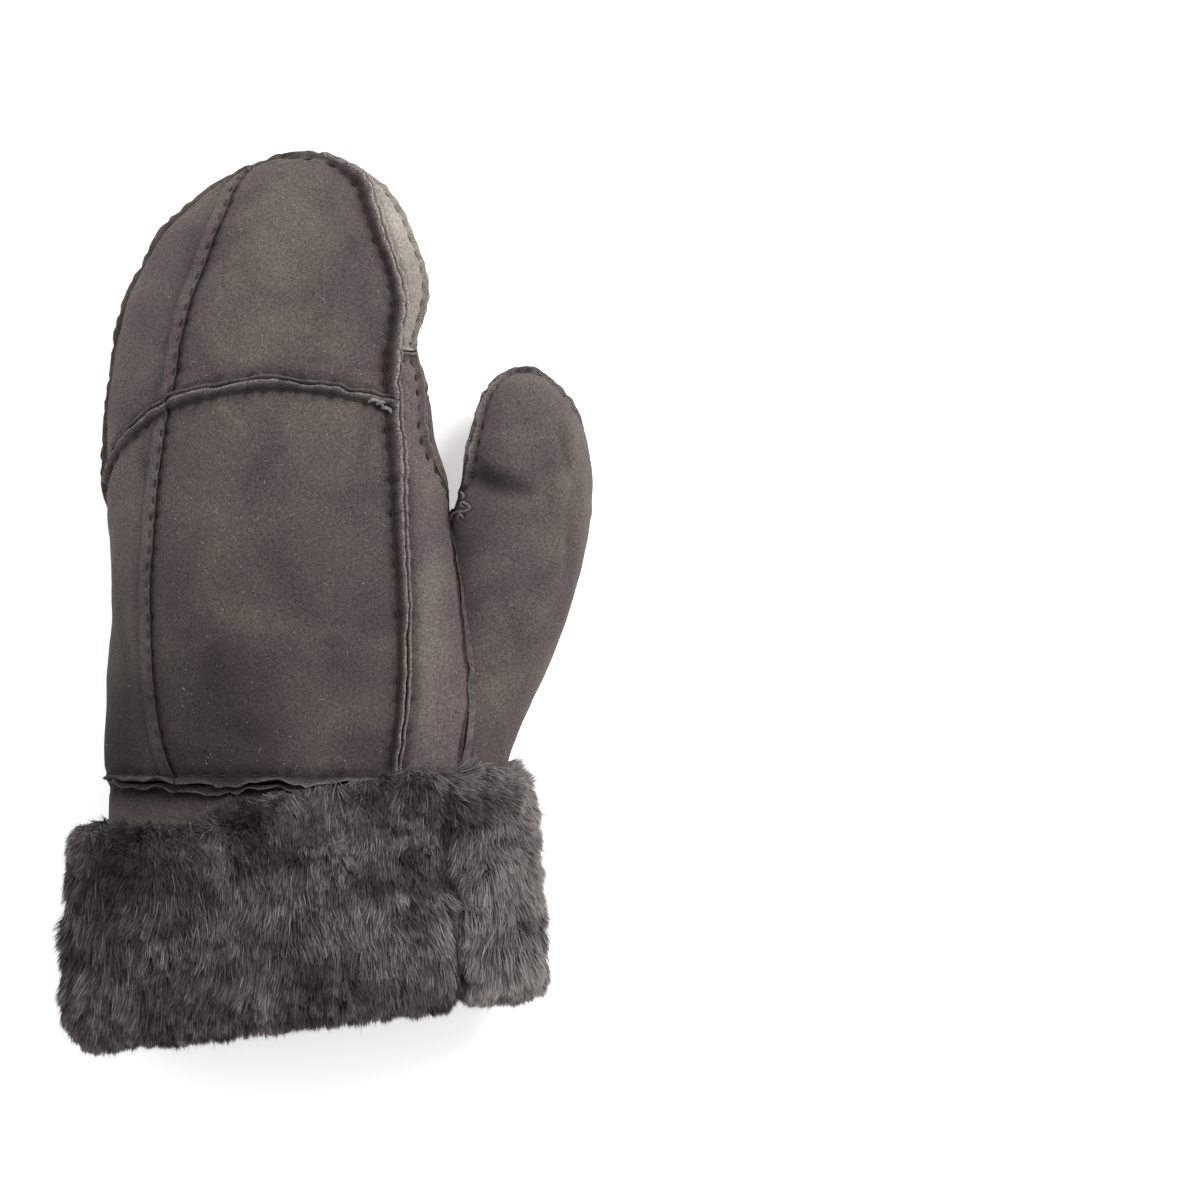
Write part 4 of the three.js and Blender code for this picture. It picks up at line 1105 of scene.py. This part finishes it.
def make_wrist_band():
    """A suede tube whose ruffled top edge is the other half of the wrist seam."""
    seam = SEAMS["wrist"]
    turn, down = np.meshgrid(np.arange(LOOP_COUNT) / LOOP_COUNT, [*EDGE["inset"], *BAND_ROWS])
    y = np.maximum(WRIST_Y - SEAM_GAP - down,
                   WRIST_Y + (fold_y(around(LOOP, turn)[..., 0]) - WRIST_Y) * BAND_REACH)
    run = turn * LOOP_LENGTH
    past_edge = (0, len(BAND_ROWS))
    share = np.pad(EDGE["raw"], past_edge)[:, None]
    spot = ring_point(turn, 0 * turn, y)
    upward = np.abs(unit(around(LOOP_OUT, turn))[..., 1])
    ruffle = 1 - 0.2 * stitch_pull(run) + 0.2 * noise(spot, 4.5, 3)
    pucker = 0.3 * line_noise(run, 0.2 * down, 3.1, 6) * np.exp(-down / 6)
    out = seam["rise"] * (0.4 + 0.6 * upward) * share * ruffle + pucker * (share < 0.3)
    wave = seam["wave"] * out.clip(0) / WELT_RISE
    sway = (0.5 * noise(spot, 5.5, 21) + 0.8 * noise(spot, 15, 25)) * wave
    tuck = 1.1 * (1 - upward.clip(0, 1)) * share.clip(0)
    outer = ring_point(turn, out, y + sway - 0.3 * wave * upward + tuck)
    inner = ring_point(turn, 0 * turn - WALL, y)
    rub = rubbed_wrist(spot)
    pale = seam["pale"] * np.pad(EDGE["crest"], past_edge)[:, None] * rub
    shade = table_value(BAND_SHADES, down) * rub ** np.clip(1 - down / RUB_DEPTH, 0, 1)
    marks = {"pale": pale, "shade": shade}
    return hide_object("wrist_band_suede", outer, inner, marks, tube_faces(*turn.shape))


SUEDE_PIECES["wrist_band"] = finish_piece(make_wrist_band(), "wrist_band")


# %% [markdown]
# ## The fur
# Sheared sheepskin wool stands about 12 mm off the hide, packed so close that only the tips show.
# It falls into small clumps with dark gaps between them, and it has been combed down towards the
# fold.  Here each hair is a thin blade of two triangles, pointed at both ends.  A particle system
# could comb them too, but blades built from arrays are plain meshes that any program can open.

# %% The path that the fur's roots follow
FUR_PATH = [  # out from the wrist's outline, share of the way to the fold, past it, direction
    (5.6, 0.0, -0.5, 50), (6.2, 0.03, 0, 30), (6.0, 0.12, 0, 6), (6.0, 0.5, 0, 0), (6.0, 0.9, 0, -12),
    (3.8, 1.0, 1.2, -55), (-0.6, 1.0, 1.6, -92), (-4.6, 1.0, -0.6, -125), (-6.0, 0.9, 0, -165),
    (-6.0, 0.7, 0, -178), (-6.0, LINING_START, 0, -180),
]
TURN_STEPS = np.linspace(0, 1, LOOP_COUNT + 1)
FUR_JOIN_X = 0.515 * PALM_WIDTH  # where the two ends of the fur meet on the back
OUTSIDE_WAY = 0.4  # share of the path's rows that lie on the cuff's outside


def cuff_y(x, share, past):
    return edge_y(x) + (fold_y(x) - edge_y(x)) * share - past


SAG_DEPTH = 16
EDGE_SAG = [(-62, 3.0), (-50, 3.6), (-38, 5.2), (-27, 6.6), (-19, 5.2), (-11, 1.8), (-3, 0.3),
            (64, 0.2), (72, 2.4), (78, 5.0), (82, 8.2), (88, 11.5)]  # x, and how far the edge sags
SIDE_PULL = [(-155, 0), (-145, 1.8), (-125, 2.4), (-105, 3.6), (-90, 5.6), (-78, 7.6)]  # y, inwards
PULL_START, PULL_END = 62, 84  # x between which the pull grows to its whole


def sagged(x, y):
    """How far the fur's upper edge hangs below a straight line."""
    near_edge = np.clip(1 - (edge_y(x) - y) / SAG_DEPTH, 0, 1)
    return near_edge * table_value(EDGE_SAG, x)


def pulled(x, y):
    """How far the fur's end on the thumb's side is drawn in at its upper part."""
    far_side = np.clip((x - PULL_START) / (PULL_END - PULL_START), 0, 1)
    return far_side * table_value(SIDE_PULL, y)


def settled(points, drop, share):
    """Points of the fur drawn in and let down, as a heavy pelt hangs."""
    x, y = points[..., 0], points[..., 1]
    pull = pulled(x, y) * share
    points[..., 0] -= pull
    points[..., 1] -= drop * share
    return points


def fur_root(turn, way):
    """Roots and standing directions for shares of a turn and shares of the path."""
    path = np.array(FUR_PATH)
    place = np.asarray(way) * (len(path) - 1)
    out, share, past, angle = (np.interp(place, np.arange(len(path)), path[:, k]) for k in range(4))
    x = around(LOOP, turn)[..., 0]
    root = ring_point(turn, out, cuff_y(x, share, past))
    flat = unit(around(LOOP_OUT, turn))
    angle = np.radians(angle)
    stand = np.stack([flat[..., 0] * np.cos(angle), np.sin(angle), flat[..., 1] * np.cos(angle)], -1)
    return root, unit(stand)


def path_lengths():
    """Length of each stretch of the path, so that roots can be spread evenly over it."""
    turn = np.full(len(FUR_PATH), 0.25)
    root = fur_root(turn, np.linspace(0, 1, len(FUR_PATH)))[0]
    return np.linalg.norm(np.diff(root, axis=0), axis=1)


FUR_BENEATH = 0.4  # share of the hairs that grow where the cuff lies on the floor


def turn_reach():
    """Share of the hairs up to each step round the wrist: the fur beneath gets fewer."""
    upward = around(LOOP_OUT, TURN_STEPS)[:, 1]
    weight = FUR_BENEATH + (1 - FUR_BENEATH) / (1 + np.exp(-(upward + 0.45) * 12))
    reach = np.concatenate([[0], np.cumsum((weight[1:] + weight[:-1]) / 2)])
    return reach / reach[-1]


FUR_STRETCHES = path_lengths()
TURN_REACH = turn_reach()
print("fur path, mm", FUR_STRETCHES.round(1))

# %% [markdown]
# ## Hairs
# A hair stands off its root, bends, and falls the way that the fur is combed, with some swirl.  Hairs
# then draw towards the middle hair of their clump, first in broad clumps and then in small ones.  The
# tone of each place comes from noise and from a table of patches read off the photo.

# %% Hairs as slim blades
MIDDLE_TONE = 0.47
PALER_BEYOND = 0.32  # how much paler the fur is beyond its join
STRAY_SHARE = 0.015  # a few hairs are longer and paler than the rest
WANDER = 0.13
SWIRL = [(1, 13, 34), (0.5, 5, 44)]  # strength, scale and seed of each layer
LOWER_WAY = (1, 0.35, 1, 0.28)  # standing, combed, wandering and swirling parts, up to the bend
UPPER_WAY = (0.55, 1.15, 1.4, 0.5)  # the same from the bend to the tip
LOWER_SHARE, UPPER_SHARE = 0.58, 0.62  # of a hair's length, below and above its bend
BROAD_CLUMPS = (9.0, 0.2, 0.07)  # spacing, share by which tips are drawn in, spread of tone
SMALL_CLUMPS = (3.0, 0.5, 0.09)
FUR_PATCHES = [  # x and y in plan, reach, change of tone: painted shade where the fur is parted, and paler where it is brushed up
    (-42, -110, 12, -0.26), (-22, -118, 9, -0.2), (53, -107, 8, -0.26), (63, -128, 6, -0.28),
    (8, -130, 15, -0.17), (-9, -108, 9, 0.14), (23, -101, 9, 0.16), (4, -112, 8, 0.1),
    (70, -104, 5, 0.24), (44, -137, 11, 0.12), (38, -92, 8, 0.1), (-48, -138, 10, 0.06),
    (56, -94, 6, -0.3), (68, -92, 4, 0.22), (76, -99, 4, -0.3), (78, -85, 5, 0.2),
    (-58, -101, 6, 0.16), (-57, -122, 6, 0.12), (-32, -102, 8, -0.16), (75, -120, 5, -0.14),
]


def fur_tone(root):
    """How light the fur is at a place, from 0 to 1: broad patches, some of them painted shade in partings,
    paler beyond the join, and painted light growing towards the thumb's side.
    """
    x, y = root[..., 0], root[..., 1]
    beyond = 1 / (1 + np.exp(-(x - FUR_JOIN_X - 1) / 3))
    low = np.clip((edge_y(x) - y) / CUFF_DEPTH, 0, 1)
    tone = MIDDLE_TONE + 0.26 * noise(root, 19, 31) + 0.16 * noise(root, 7, 32) + 0.06 * low
    for patch_x, patch_y, reach, change in FUR_PATCHES:
        tone = tone + change * np.exp(-((x - patch_x) ** 2 + (y - patch_y) ** 2) / reach ** 2)
    # painted light: the last term makes the fur lighter towards the thumb's side, where the light comes from
    return tone + PALER_BEYOND * beyond + 0.1 * np.clip(x / 60, -0.6, 1)


JOIN_REACH = 2.4
JOIN_SLANT = 0.09


def join_gap(root):
    """How close a root is to the join in the fur on the back, from 0 to 1."""
    x = FUR_JOIN_X - JOIN_SLANT * (root[..., 1] + 110)
    on_back = root[..., 2] > 0.5 * PALM_THICK
    return bell(root[..., 0], x, JOIN_REACH) * on_back


def comb_direction(root):
    """The way that the fur lies: down, curling towards the join beyond it."""
    x = root[..., 0]
    beyond = bell(x, 66, 9)
    low = np.clip((edge_y(x) - root[..., 1]) / CUFF_DEPTH, 0, 1)
    across = 0.08 - 0.55 * beyond * low
    return np.stack([across, -(0.35 + 0.65 * low), 0 * x], -1)


def hair_roots(count, ways, rng):
    """Roots spread evenly over a part of the path, how they stand, and how far the fur sags there."""
    reach = np.concatenate([[0], np.cumsum(FUR_STRETCHES)]) / FUR_STRETCHES.sum()
    grid = np.linspace(0, 1, len(reach))
    low, high = np.interp(ways, grid, reach)
    way = np.interp(rng.uniform(low, high, count), reach, grid)
    turn = np.interp(rng.uniform(0, 1, count), TURN_REACH, TURN_STEPS)
    root, stand = fur_root(turn, way)
    outside = way < OUTSIDE_WAY
    sag = sagged(root[:, 0], root[:, 1]) * outside
    return settled(root, sag, outside), stand, sag


def blended(parts, shares):
    return unit(sum(share * part for share, part in zip(shares, parts)))


def hairs(count, ways, length, seed):
    """Points of many hairs: where each is rooted, bends and ends, with its tone."""
    rng = np.random.default_rng(seed)
    root, stand, sag = hair_roots(count, ways, rng)
    gap = join_gap(root)
    tall = length * rng.uniform(0.8, 1.05, count) * (1 + 0.16 * noise(root, 11, 33)) * (1 - 0.45 * gap)
    stray = rng.random(count) < STRAY_SHARE
    tall = tall * (1 - 0.03 * sag) * (1 + 0.16 * noise(root, 4, 37)) * (1 + 0.3 * stray)
    wander = WANDER * rng.normal(size=(count, 3))
    parts = stand, comb_direction(root), wander, noise_vectors(root, *SWIRL)
    bend = root + blended(parts, LOWER_WAY) * (LOWER_SHARE * tall)[:, None]
    tip = bend + blended(parts, UPPER_WAY) * (UPPER_SHARE * tall)[:, None]
    # painted shade: hairs at the join are darkened, as the shade in its gap
    tone = fur_tone(root) + 0.12 * rng.normal(size=count) - 0.3 * gap + 0.2 * stray
    for clumps in (BROAD_CLUMPS, SMALL_CLUMPS):
        bend, tip, tone = gather_clumps(root, bend, tip, tone, *clumps, rng)
    return root, bend, tip, tone


def gather_clumps(root, bend, tip, tone, spacing, strength, shade, rng):
    """Draw each hair towards the middle hair of its clump, most at its tip."""
    area = LOOP_LENGTH * (root[:, 1].max() - root[:, 1].min())
    heads = rng.choice(len(root), int(area / spacing ** 2) + 1, replace=False)
    tree = kdtree.KDTree(len(heads))
    for index, head in enumerate(heads):
        tree.insert(Vector(root[head]), index)
    tree.balance()
    nearest = np.array([tree.find(Vector(spot))[1] for spot in root])
    head = heads[nearest]
    pull = strength * rng.uniform(0.4, 1.3, len(root))[:, None]
    drawn_tip = tip + (tip[head] - tip) * pull
    drawn_bend = bend + (bend[head] - bend) * pull * 0.3
    return drawn_bend, drawn_tip, tone + rng.normal(0, shade, len(heads))[nearest]


HAIR_FLOOR = 0.2
BLADE_TONES = np.array([0, 1, 0, -1]) * 0.004  # a hair's own small patch of its map
BLADE_HEIGHTS = np.array([0.02, 0.5, 0.98, 0.5])


def blades(name, hair, breadth, seed):
    """A mesh of blades, each pointed at both ends and widest where it bends: two triangles."""
    root, bend, tip, tone = hair
    rng = np.random.default_rng(seed)
    count = len(root)
    side = unit(np.cross(tip - root, rng.normal(size=(count, 3)))) * breadth / 2
    points = raised(np.stack([root, bend + side, tip, bend - side], 1), HAIR_FLOOR)
    first = np.arange(count)[:, None] * 4
    lower, upper = first + np.array([0, 1, 3]), first + np.array([1, 2, 3])
    shade = np.clip(tone, 0.02, 0.98)[:, None] + BLADE_TONES
    height = BLADE_HEIGHTS + 0 * shade
    maps = {"OFBake": np.stack([shade, height], -1).reshape(-1, 2)}
    return mesh_object(name, points.reshape(-1, 3), [lower, upper], maps=maps)


FUR_PIECES = {  # two shares of the path between which it grows, hair length, breadth, hair count
    "fur_outside_upper": (0.0, 0.22, 9.5, 0.42, 80000),
    "fur_outside_middle": (0.22, 0.36, 10.0, 0.42, 80000),
    "fur_outside_lower": (0.36, 0.48, 10.0, 0.42, 80000),
    "fur_fold": (0.48, 0.74, 8.5, 0.42, 50000),
    "fur_lining": (0.74, 1.0, 5.5, 0.5, 34000),
}
FEWER, BROADER = ((1, 1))
HAIR_SEED, BLADE_SEED = 100, 200
FUR_OBJECTS = {}
for number, (name, (low, high, length, breadth, count)) in enumerate(FUR_PIECES.items()):
    hair = hairs(count // FEWER, (low, high), length, HAIR_SEED + number)
    fur = blades(name, hair, breadth * BROADER, BLADE_SEED + number)
    FUR_OBJECTS[name] = finish_piece(fur, "fur_cuff")


# %% [markdown]
# ## Underfur
# Between the hairs one looks down on close, dark wool and not on hide.  A plain ring under the blades
# gives that depth, painted dark both as the wool's own colour and as the shade deep in the pile, and closes
# the cuff from every side.

# %% The ring under the hairs
UNDERFUR_COLUMNS = ["out", "share", "past", "outside", "woolly"]
UNDERFUR_ROWS = [  # out, share of the way to the fold, past it, 1 where it hangs, 1 where it is uneven
    (3.6, 0, 0, 1, 1), (7.4, 0, -0.8, 1, 1), (8.0, 0.05, 0, 1, 1), (8.0, 0.3, 0, 1, 1),
    (8.0, 0.6, 0, 1, 1), (8.0, 0.9, 0, 1, 1), (7.0, 1.0, 1.0, 0, 1), (4.0, 1.0, 3.2, 0, 1),
    (0.0, 1.0, 3.8, 0, 1), (-4.0, 1.0, 2.8, 0, 1), (-7.2, 0.97, 0, 0, 1), (-8.0, 0.85, 0, 0, 1),
    (-8.0, 0.6, 0, 0, 1), (-8.0, LINING_START, 0, 0, 1), (-2.8, LINING_START, 0, 0, 0),
    (-2.7, 0.87, 0, 0, 0), (0.5, 0.87, 0, 0, 0),
]
UNDERFUR_FLOOR = 0.4


def make_underfur():
    """A closed ring of dense wool, with a slot where the wrist band runs."""
    row = {name: np.array(column)[:, None] for name, column in zip(UNDERFUR_COLUMNS, zip(*UNDERFUR_ROWS))}
    turn = np.arange(LOOP_COUNT)[None, :] / LOOP_COUNT + 0 * row["out"]
    y = cuff_y(around(LOOP, turn)[..., 0], row["share"], row["past"])
    points = raised(ring_point(turn, row["out"] + 0 * turn, y), UNDERFUR_FLOOR)
    points = points + noise_vectors(points, (0.7, 6, 40)) * row["woolly"][..., None]
    points = settled(points, sagged(points[..., 0], points[..., 1]) + 1, row["outside"])
    index = np.arange(turn.size).reshape(turn.shape)
    below = np.roll(index, -1, 0)
    faces = np.stack([index, below, np.roll(below, -1, 1), np.roll(index, -1, 1)], -1).reshape(-1, 4)
    return mesh_object("underfur", raised(points, UNDERFUR_FLOOR).reshape(-1, 3), [faces])


UNDERFUR = finish_piece(make_underfur(), "fur_cuff")

# %% [markdown]
# ## Node helpers
# Materials are built from nodes.  A few short helpers add a node, set its values and join it up, so
# each material below reads as a list of what it mixes.

# %% Helpers for node trees
def add_node(tree, kind, values=None, **settings):
    node = tree.nodes.new(kind)
    for key, value in settings.items():
        setattr(node, key, value)
    for key, value in (values or {}).items():
        node.inputs[key].default_value = value
    return node


def join(tree, source, target):
    tree.links.new(source, target)


def new_material(name):
    material = bpy.data.materials.new(name)
    material.use_nodes = True
    material.node_tree.nodes.clear()
    return material, material.node_tree


def noise_node(tree, scale, detail, **more):
    """A noise texture laid over the object's own coordinates."""
    node = add_node(tree, "ShaderNodeTexNoise", {"Scale": scale, "Detail": detail, **more})
    join(tree, tree.nodes.new("ShaderNodeTexCoord").outputs["Object"], node.inputs["Vector"])
    return node


def surface(tree, values, colour=None):
    """The material's surface, with its colour taken from a socket if there is one."""
    shader = add_node(tree, "ShaderNodeBsdfPrincipled", values)
    if colour is not None:
        join(tree, colour, shader.inputs["Base Color"])
    output = tree.nodes.new("ShaderNodeOutputMaterial")
    join(tree, shader.outputs[0], output.inputs["Surface"])
    return shader


def ramp(tree, factor, stops):
    """A colour ramp over stops of a position and a colour or a grey."""
    node = tree.nodes.new("ShaderNodeValToRGB")
    while len(node.color_ramp.elements) < len(stops):
        node.color_ramp.elements.new(0.5)
    for element, (position, colour) in zip(node.color_ramp.elements, stops):
        element.position = position
        element.color = (*colour, 1) if isinstance(colour, tuple) else (colour, colour, colour, 1)
    join(tree, factor, node.inputs["Fac"])
    return node.outputs["Color"]


def mix(tree, factor, first, second, blend="MIX"):
    """Mix two colours, each a socket or a colour, by a socket or a number."""
    node = add_node(tree, "ShaderNodeMix", data_type="RGBA", blend_type=blend)
    for socket, value in ((node.inputs[0], factor), (node.inputs[6], first), (node.inputs[7], second)):
        if hasattr(value, "is_linked"):
            join(tree, value, socket)
        else:
            socket.default_value = (*value, 1) if isinstance(value, tuple) else value
    return node.outputs[2]


def calculate(tree, operation, *values):
    node = add_node(tree, "ShaderNodeMath", operation=operation)
    for socket, value in zip(node.inputs, values):
        if hasattr(value, "is_linked"):
            join(tree, value, socket)
        else:
            socket.default_value = value
    return node.outputs[0]


# %% [markdown]
# ## The suede
# Suede is the flesh side of the hide, buffed to a short nap.  Brushed one way it is lighter and the
# other way darker, so it shows soft cloudy patches, fine speckle, and darker rubbed places.  Bits of
# pale wool fibre cling to it.  One group works these out for both suedes.

# %% The nap as a node group
def nap_group():
    tree = bpy.data.node_groups.new("suede nap", "ShaderNodeTree")
    for name in ("Cloud", "Speckle", "Height"):
        tree.interface.new_socket(name, in_out="OUTPUT", socket_type="NodeSocketFloat")
    tree.interface.new_socket("Cloud Scale", in_out="INPUT", socket_type="NodeSocketFloat")
    inside, outside = tree.nodes.new("NodeGroupInput"), tree.nodes.new("NodeGroupOutput")
    cloud = noise_node(tree, 1.0, 3.0, Roughness=0.5, Distortion=0.6)
    join(tree, inside.outputs["Cloud Scale"], cloud.inputs["Scale"])
    speckle = noise_node(tree, 1500.0, 3.0, Roughness=0.7)
    coarse = noise_node(tree, 480.0, 5.0, Roughness=0.75)
    for node, name in ((cloud, "Cloud"), (speckle, "Speckle"), (coarse, "Height")):
        join(tree, node.outputs["Fac"], outside.inputs[name])
    return tree


NAP = nap_group()


# %% The suede materials
def suede_material(name, tones, edge):
    material, tree = new_material(name)
    nap = add_node(tree, "ShaderNodeGroup", node_tree=NAP)
    nap.inputs["Cloud Scale"].default_value = 38.0
    colour = ramp(tree, nap.outputs["Cloud"], list(zip((0.3, 0.42, 0.55, 0.72), tones)))
    speck = ramp(tree, nap.outputs["Speckle"], [(0.3, 0.5), (0.5, 0.98), (0.66, 1.35), (0.74, 2.1)])
    colour = mix(tree, 1.0, colour, speck, "MULTIPLY")
    # painted shade: the shade mark darkens the colour at seams, dents, creases and the crotch, with real
    # rubbing and each panel's tone
    shade = add_node(tree, "ShaderNodeAttribute", attribute_name="shade").outputs["Fac"]
    colour = mix(tree, 1.0, colour, shade, "MULTIPLY")
    # the pale mark mixes in the edge colour: the pale cut edge, and painted light on a thumb lip's flank
    pale = add_node(tree, "ShaderNodeAttribute", attribute_name="pale").outputs["Fac"]
    worn = calculate(tree, "MULTIPLY", pale, ramp(tree, nap.outputs["Speckle"], [(0.4, 0.2), (0.58, 1.0)]))
    colour = mix(tree, worn, colour, edge)
    shader = surface(tree, {"Roughness": 0.95, "Specular IOR Level": 0.1, "Sheen Weight": 0.12,
                            "Sheen Roughness": 0.5, "Sheen Tint": (0.75, 0.7, 0.62, 1.0)}, colour)
    bump = add_node(tree, "ShaderNodeBump", {"Strength": 0.85, "Distance": 0.0008})
    join(tree, nap.outputs["Height"], bump.inputs["Height"])
    join(tree, bump.outputs["Normal"], shader.inputs["Normal"])
    return material


def plain_material(name, scale, detail, dark, light, values):
    """A matt finish that wanders between two colours."""
    material, tree = new_material(name)
    spots = noise_node(tree, scale, detail).outputs["Fac"]
    surface(tree, values, ramp(tree, spots, [(0.3, dark), (0.7, light)]))
    return material


SUEDE = suede_material("brown_grey_suede", [(0.066, 0.051, 0.051), (0.082, 0.0645, 0.0625),
                                            (0.097, 0.0785, 0.073), (0.118, 0.0985, 0.086)],
                       (0.4, 0.36, 0.335))
PALE_SUEDE = suede_material("pale_suede", [(0.13, 0.112, 0.1), (0.17, 0.15, 0.132),
                                           (0.215, 0.193, 0.168), (0.26, 0.235, 0.205)],
                            (0.33, 0.3, 0.27))
for name, piece in SUEDE_PIECES.items():
    piece.data.materials.append(PALE_SUEDE if name == "tip_gusset" else SUEDE)
RAW_HIDE = suede_material("raw_hide", [(0.1, 0.084, 0.08), (0.14, 0.12, 0.112),
                                       (0.19, 0.166, 0.155), (0.25, 0.22, 0.205)], (0.3, 0.27, 0.25))
FIBRE = {"Roughness": 0.8, "Specular IOR Level": 0.2}
THREAD = plain_material("dark_thread", 1500.0, 2.0, (0.014, 0.011, 0.011), (0.04, 0.033, 0.032), FIBRE)
LINT = plain_material("wool_lint", 1500.0, 2.0, (0.17, 0.15, 0.14), (0.34, 0.31, 0.29), FIBRE)
for pieces, material in ((STITCH_PIECES, THREAD), (LINT_PIECES, LINT),
                         (SHRED_PIECES.values(), RAW_HIDE)):
    for piece in pieces:
        piece.data.materials.append(material)


# %% [markdown]
# ## The fur's colour
# Each hair is painted dark at its root, as the shade deep in the pile, and paler towards its tip.  Whole
# patches of wool are lighter or darker, some of them painted shade where the fur parts, and the fur is
# painted lighter towards the thumb's side.  A hair's own map holds both: its tone across, and its height up.

# %% The fur materials
def fur_material():
    material, tree = new_material("sheep_fur")
    spot = add_node(tree, "ShaderNodeUVMap", uv_map="OFBake")
    parts = tree.nodes.new("ShaderNodeSeparateXYZ")
    join(tree, spot.outputs["UV"], parts.inputs[0])
    tone = ramp(tree, parts.outputs["X"], [(0.0, (0.018, 0.0155, 0.0175)), (0.35, (0.05, 0.042, 0.0425)),
                                           (0.65, (0.112, 0.096, 0.092)), (1.0, (0.26, 0.235, 0.22))])
    # painted shade along each hair: darkest at the root, where the pile shades it
    depth = ramp(tree, parts.outputs["Y"], [(0.0, 0.16), (0.45, 0.5), (0.85, 1.2), (1.0, 1.6)])
    surface(tree, {"Roughness": 0.75, "Specular IOR Level": 0.25, "Sheen Weight": 0.1},
            mix(tree, 1.0, tone, depth, "MULTIPLY"))
    return material


FUR = fur_material()
for piece in FUR_OBJECTS.values():
    piece.data.materials.append(FUR)
# The underfur's dark colour is partly the wool's own and partly painted shade deep in the pile.
WOOL_AND_PILE_SHADE = plain_material("underfur_wool_and_pile_shade", 400.0, 4.0, (0.012, 0.01, 0.011), (0.04, 0.034, 0.033),
                      {"Roughness": 1.0, "Specular IOR Level": 0.1})
UNDERFUR.data.materials.append(WOOL_AND_PILE_SHADE)


# %% [markdown]
# ## Floor, light and camera
# The photo looks straight down on white.  A long lens high above keeps the sides from showing.

# %% Floor, lights and camera
PIXEL = 0.31  # millimetres to a pixel of the photo
PHOTO_PIXELS = 1200
FRAME_CENTRE = (100.75, -25.7)
FLOOR_HALF = 3.0
CAMERA_HEIGHT = 2.0  # above the middle of the mitten
MITTEN_MIDDLE = (0.03, -0.02, 0.02)
SENSOR = 36
LIGHTS = {"key": ((0.7, 0.6, 1.0), 0.6, 18), "fill": ((-0.8, 0.1, 1.0), 1.0, 6)}  # place, size, watts


def make_floor():
    mesh = bpy.data.meshes.new("floor")
    half = FLOOR_HALF
    mesh.from_pydata([(-half, -half, 0), (half, -half, 0), (half, half, 0), (-half, half, 0)], [],
                     [(0, 1, 2, 3)])
    material, tree = new_material("white_paper")
    surface(tree, {"Base Color": (0.9, 0.9, 0.9, 1), "Roughness": 0.9,
                   "Emission Color": (1, 1, 1, 1), "Emission Strength": 0.47})
    mesh.materials.append(material)
    place_object("floor", mesh)


def add_light(name, position, size, power):
    light = bpy.data.lights.new(name, "AREA")
    light.shape, light.size, light.energy = "DISK", size, power
    lamp = place_object(name, light)
    lamp.location = position
    aim = Vector(MITTEN_MIDDLE) - Vector(position)
    lamp.rotation_euler = aim.to_track_quat("-Z", "Y").to_euler()


def add_camera():
    camera = bpy.data.cameras.new("camera")
    camera.sensor_width = SENSOR
    camera.lens = SENSOR * CAMERA_HEIGHT / (PHOTO_PIXELS * PIXEL * MM)
    holder = place_object("camera", camera)
    holder.location = (FRAME_CENTRE[0] * MM, FRAME_CENTRE[1] * MM, CAMERA_HEIGHT + 0.03)
    bpy.context.scene.camera = holder


make_floor()
for name, row in LIGHTS.items():
    add_light(name, *row)
add_camera()
world = bpy.data.worlds.new("studio")
world.use_nodes = True
world.node_tree.nodes["Background"].inputs["Color"].default_value = (1, 1, 1, 1)
world.node_tree.nodes["Background"].inputs["Strength"].default_value = 0.6
bpy.context.scene.world = world
bpy.context.scene.view_settings.view_transform = "Standard"
bpy.context.scene.view_settings.look = "None"
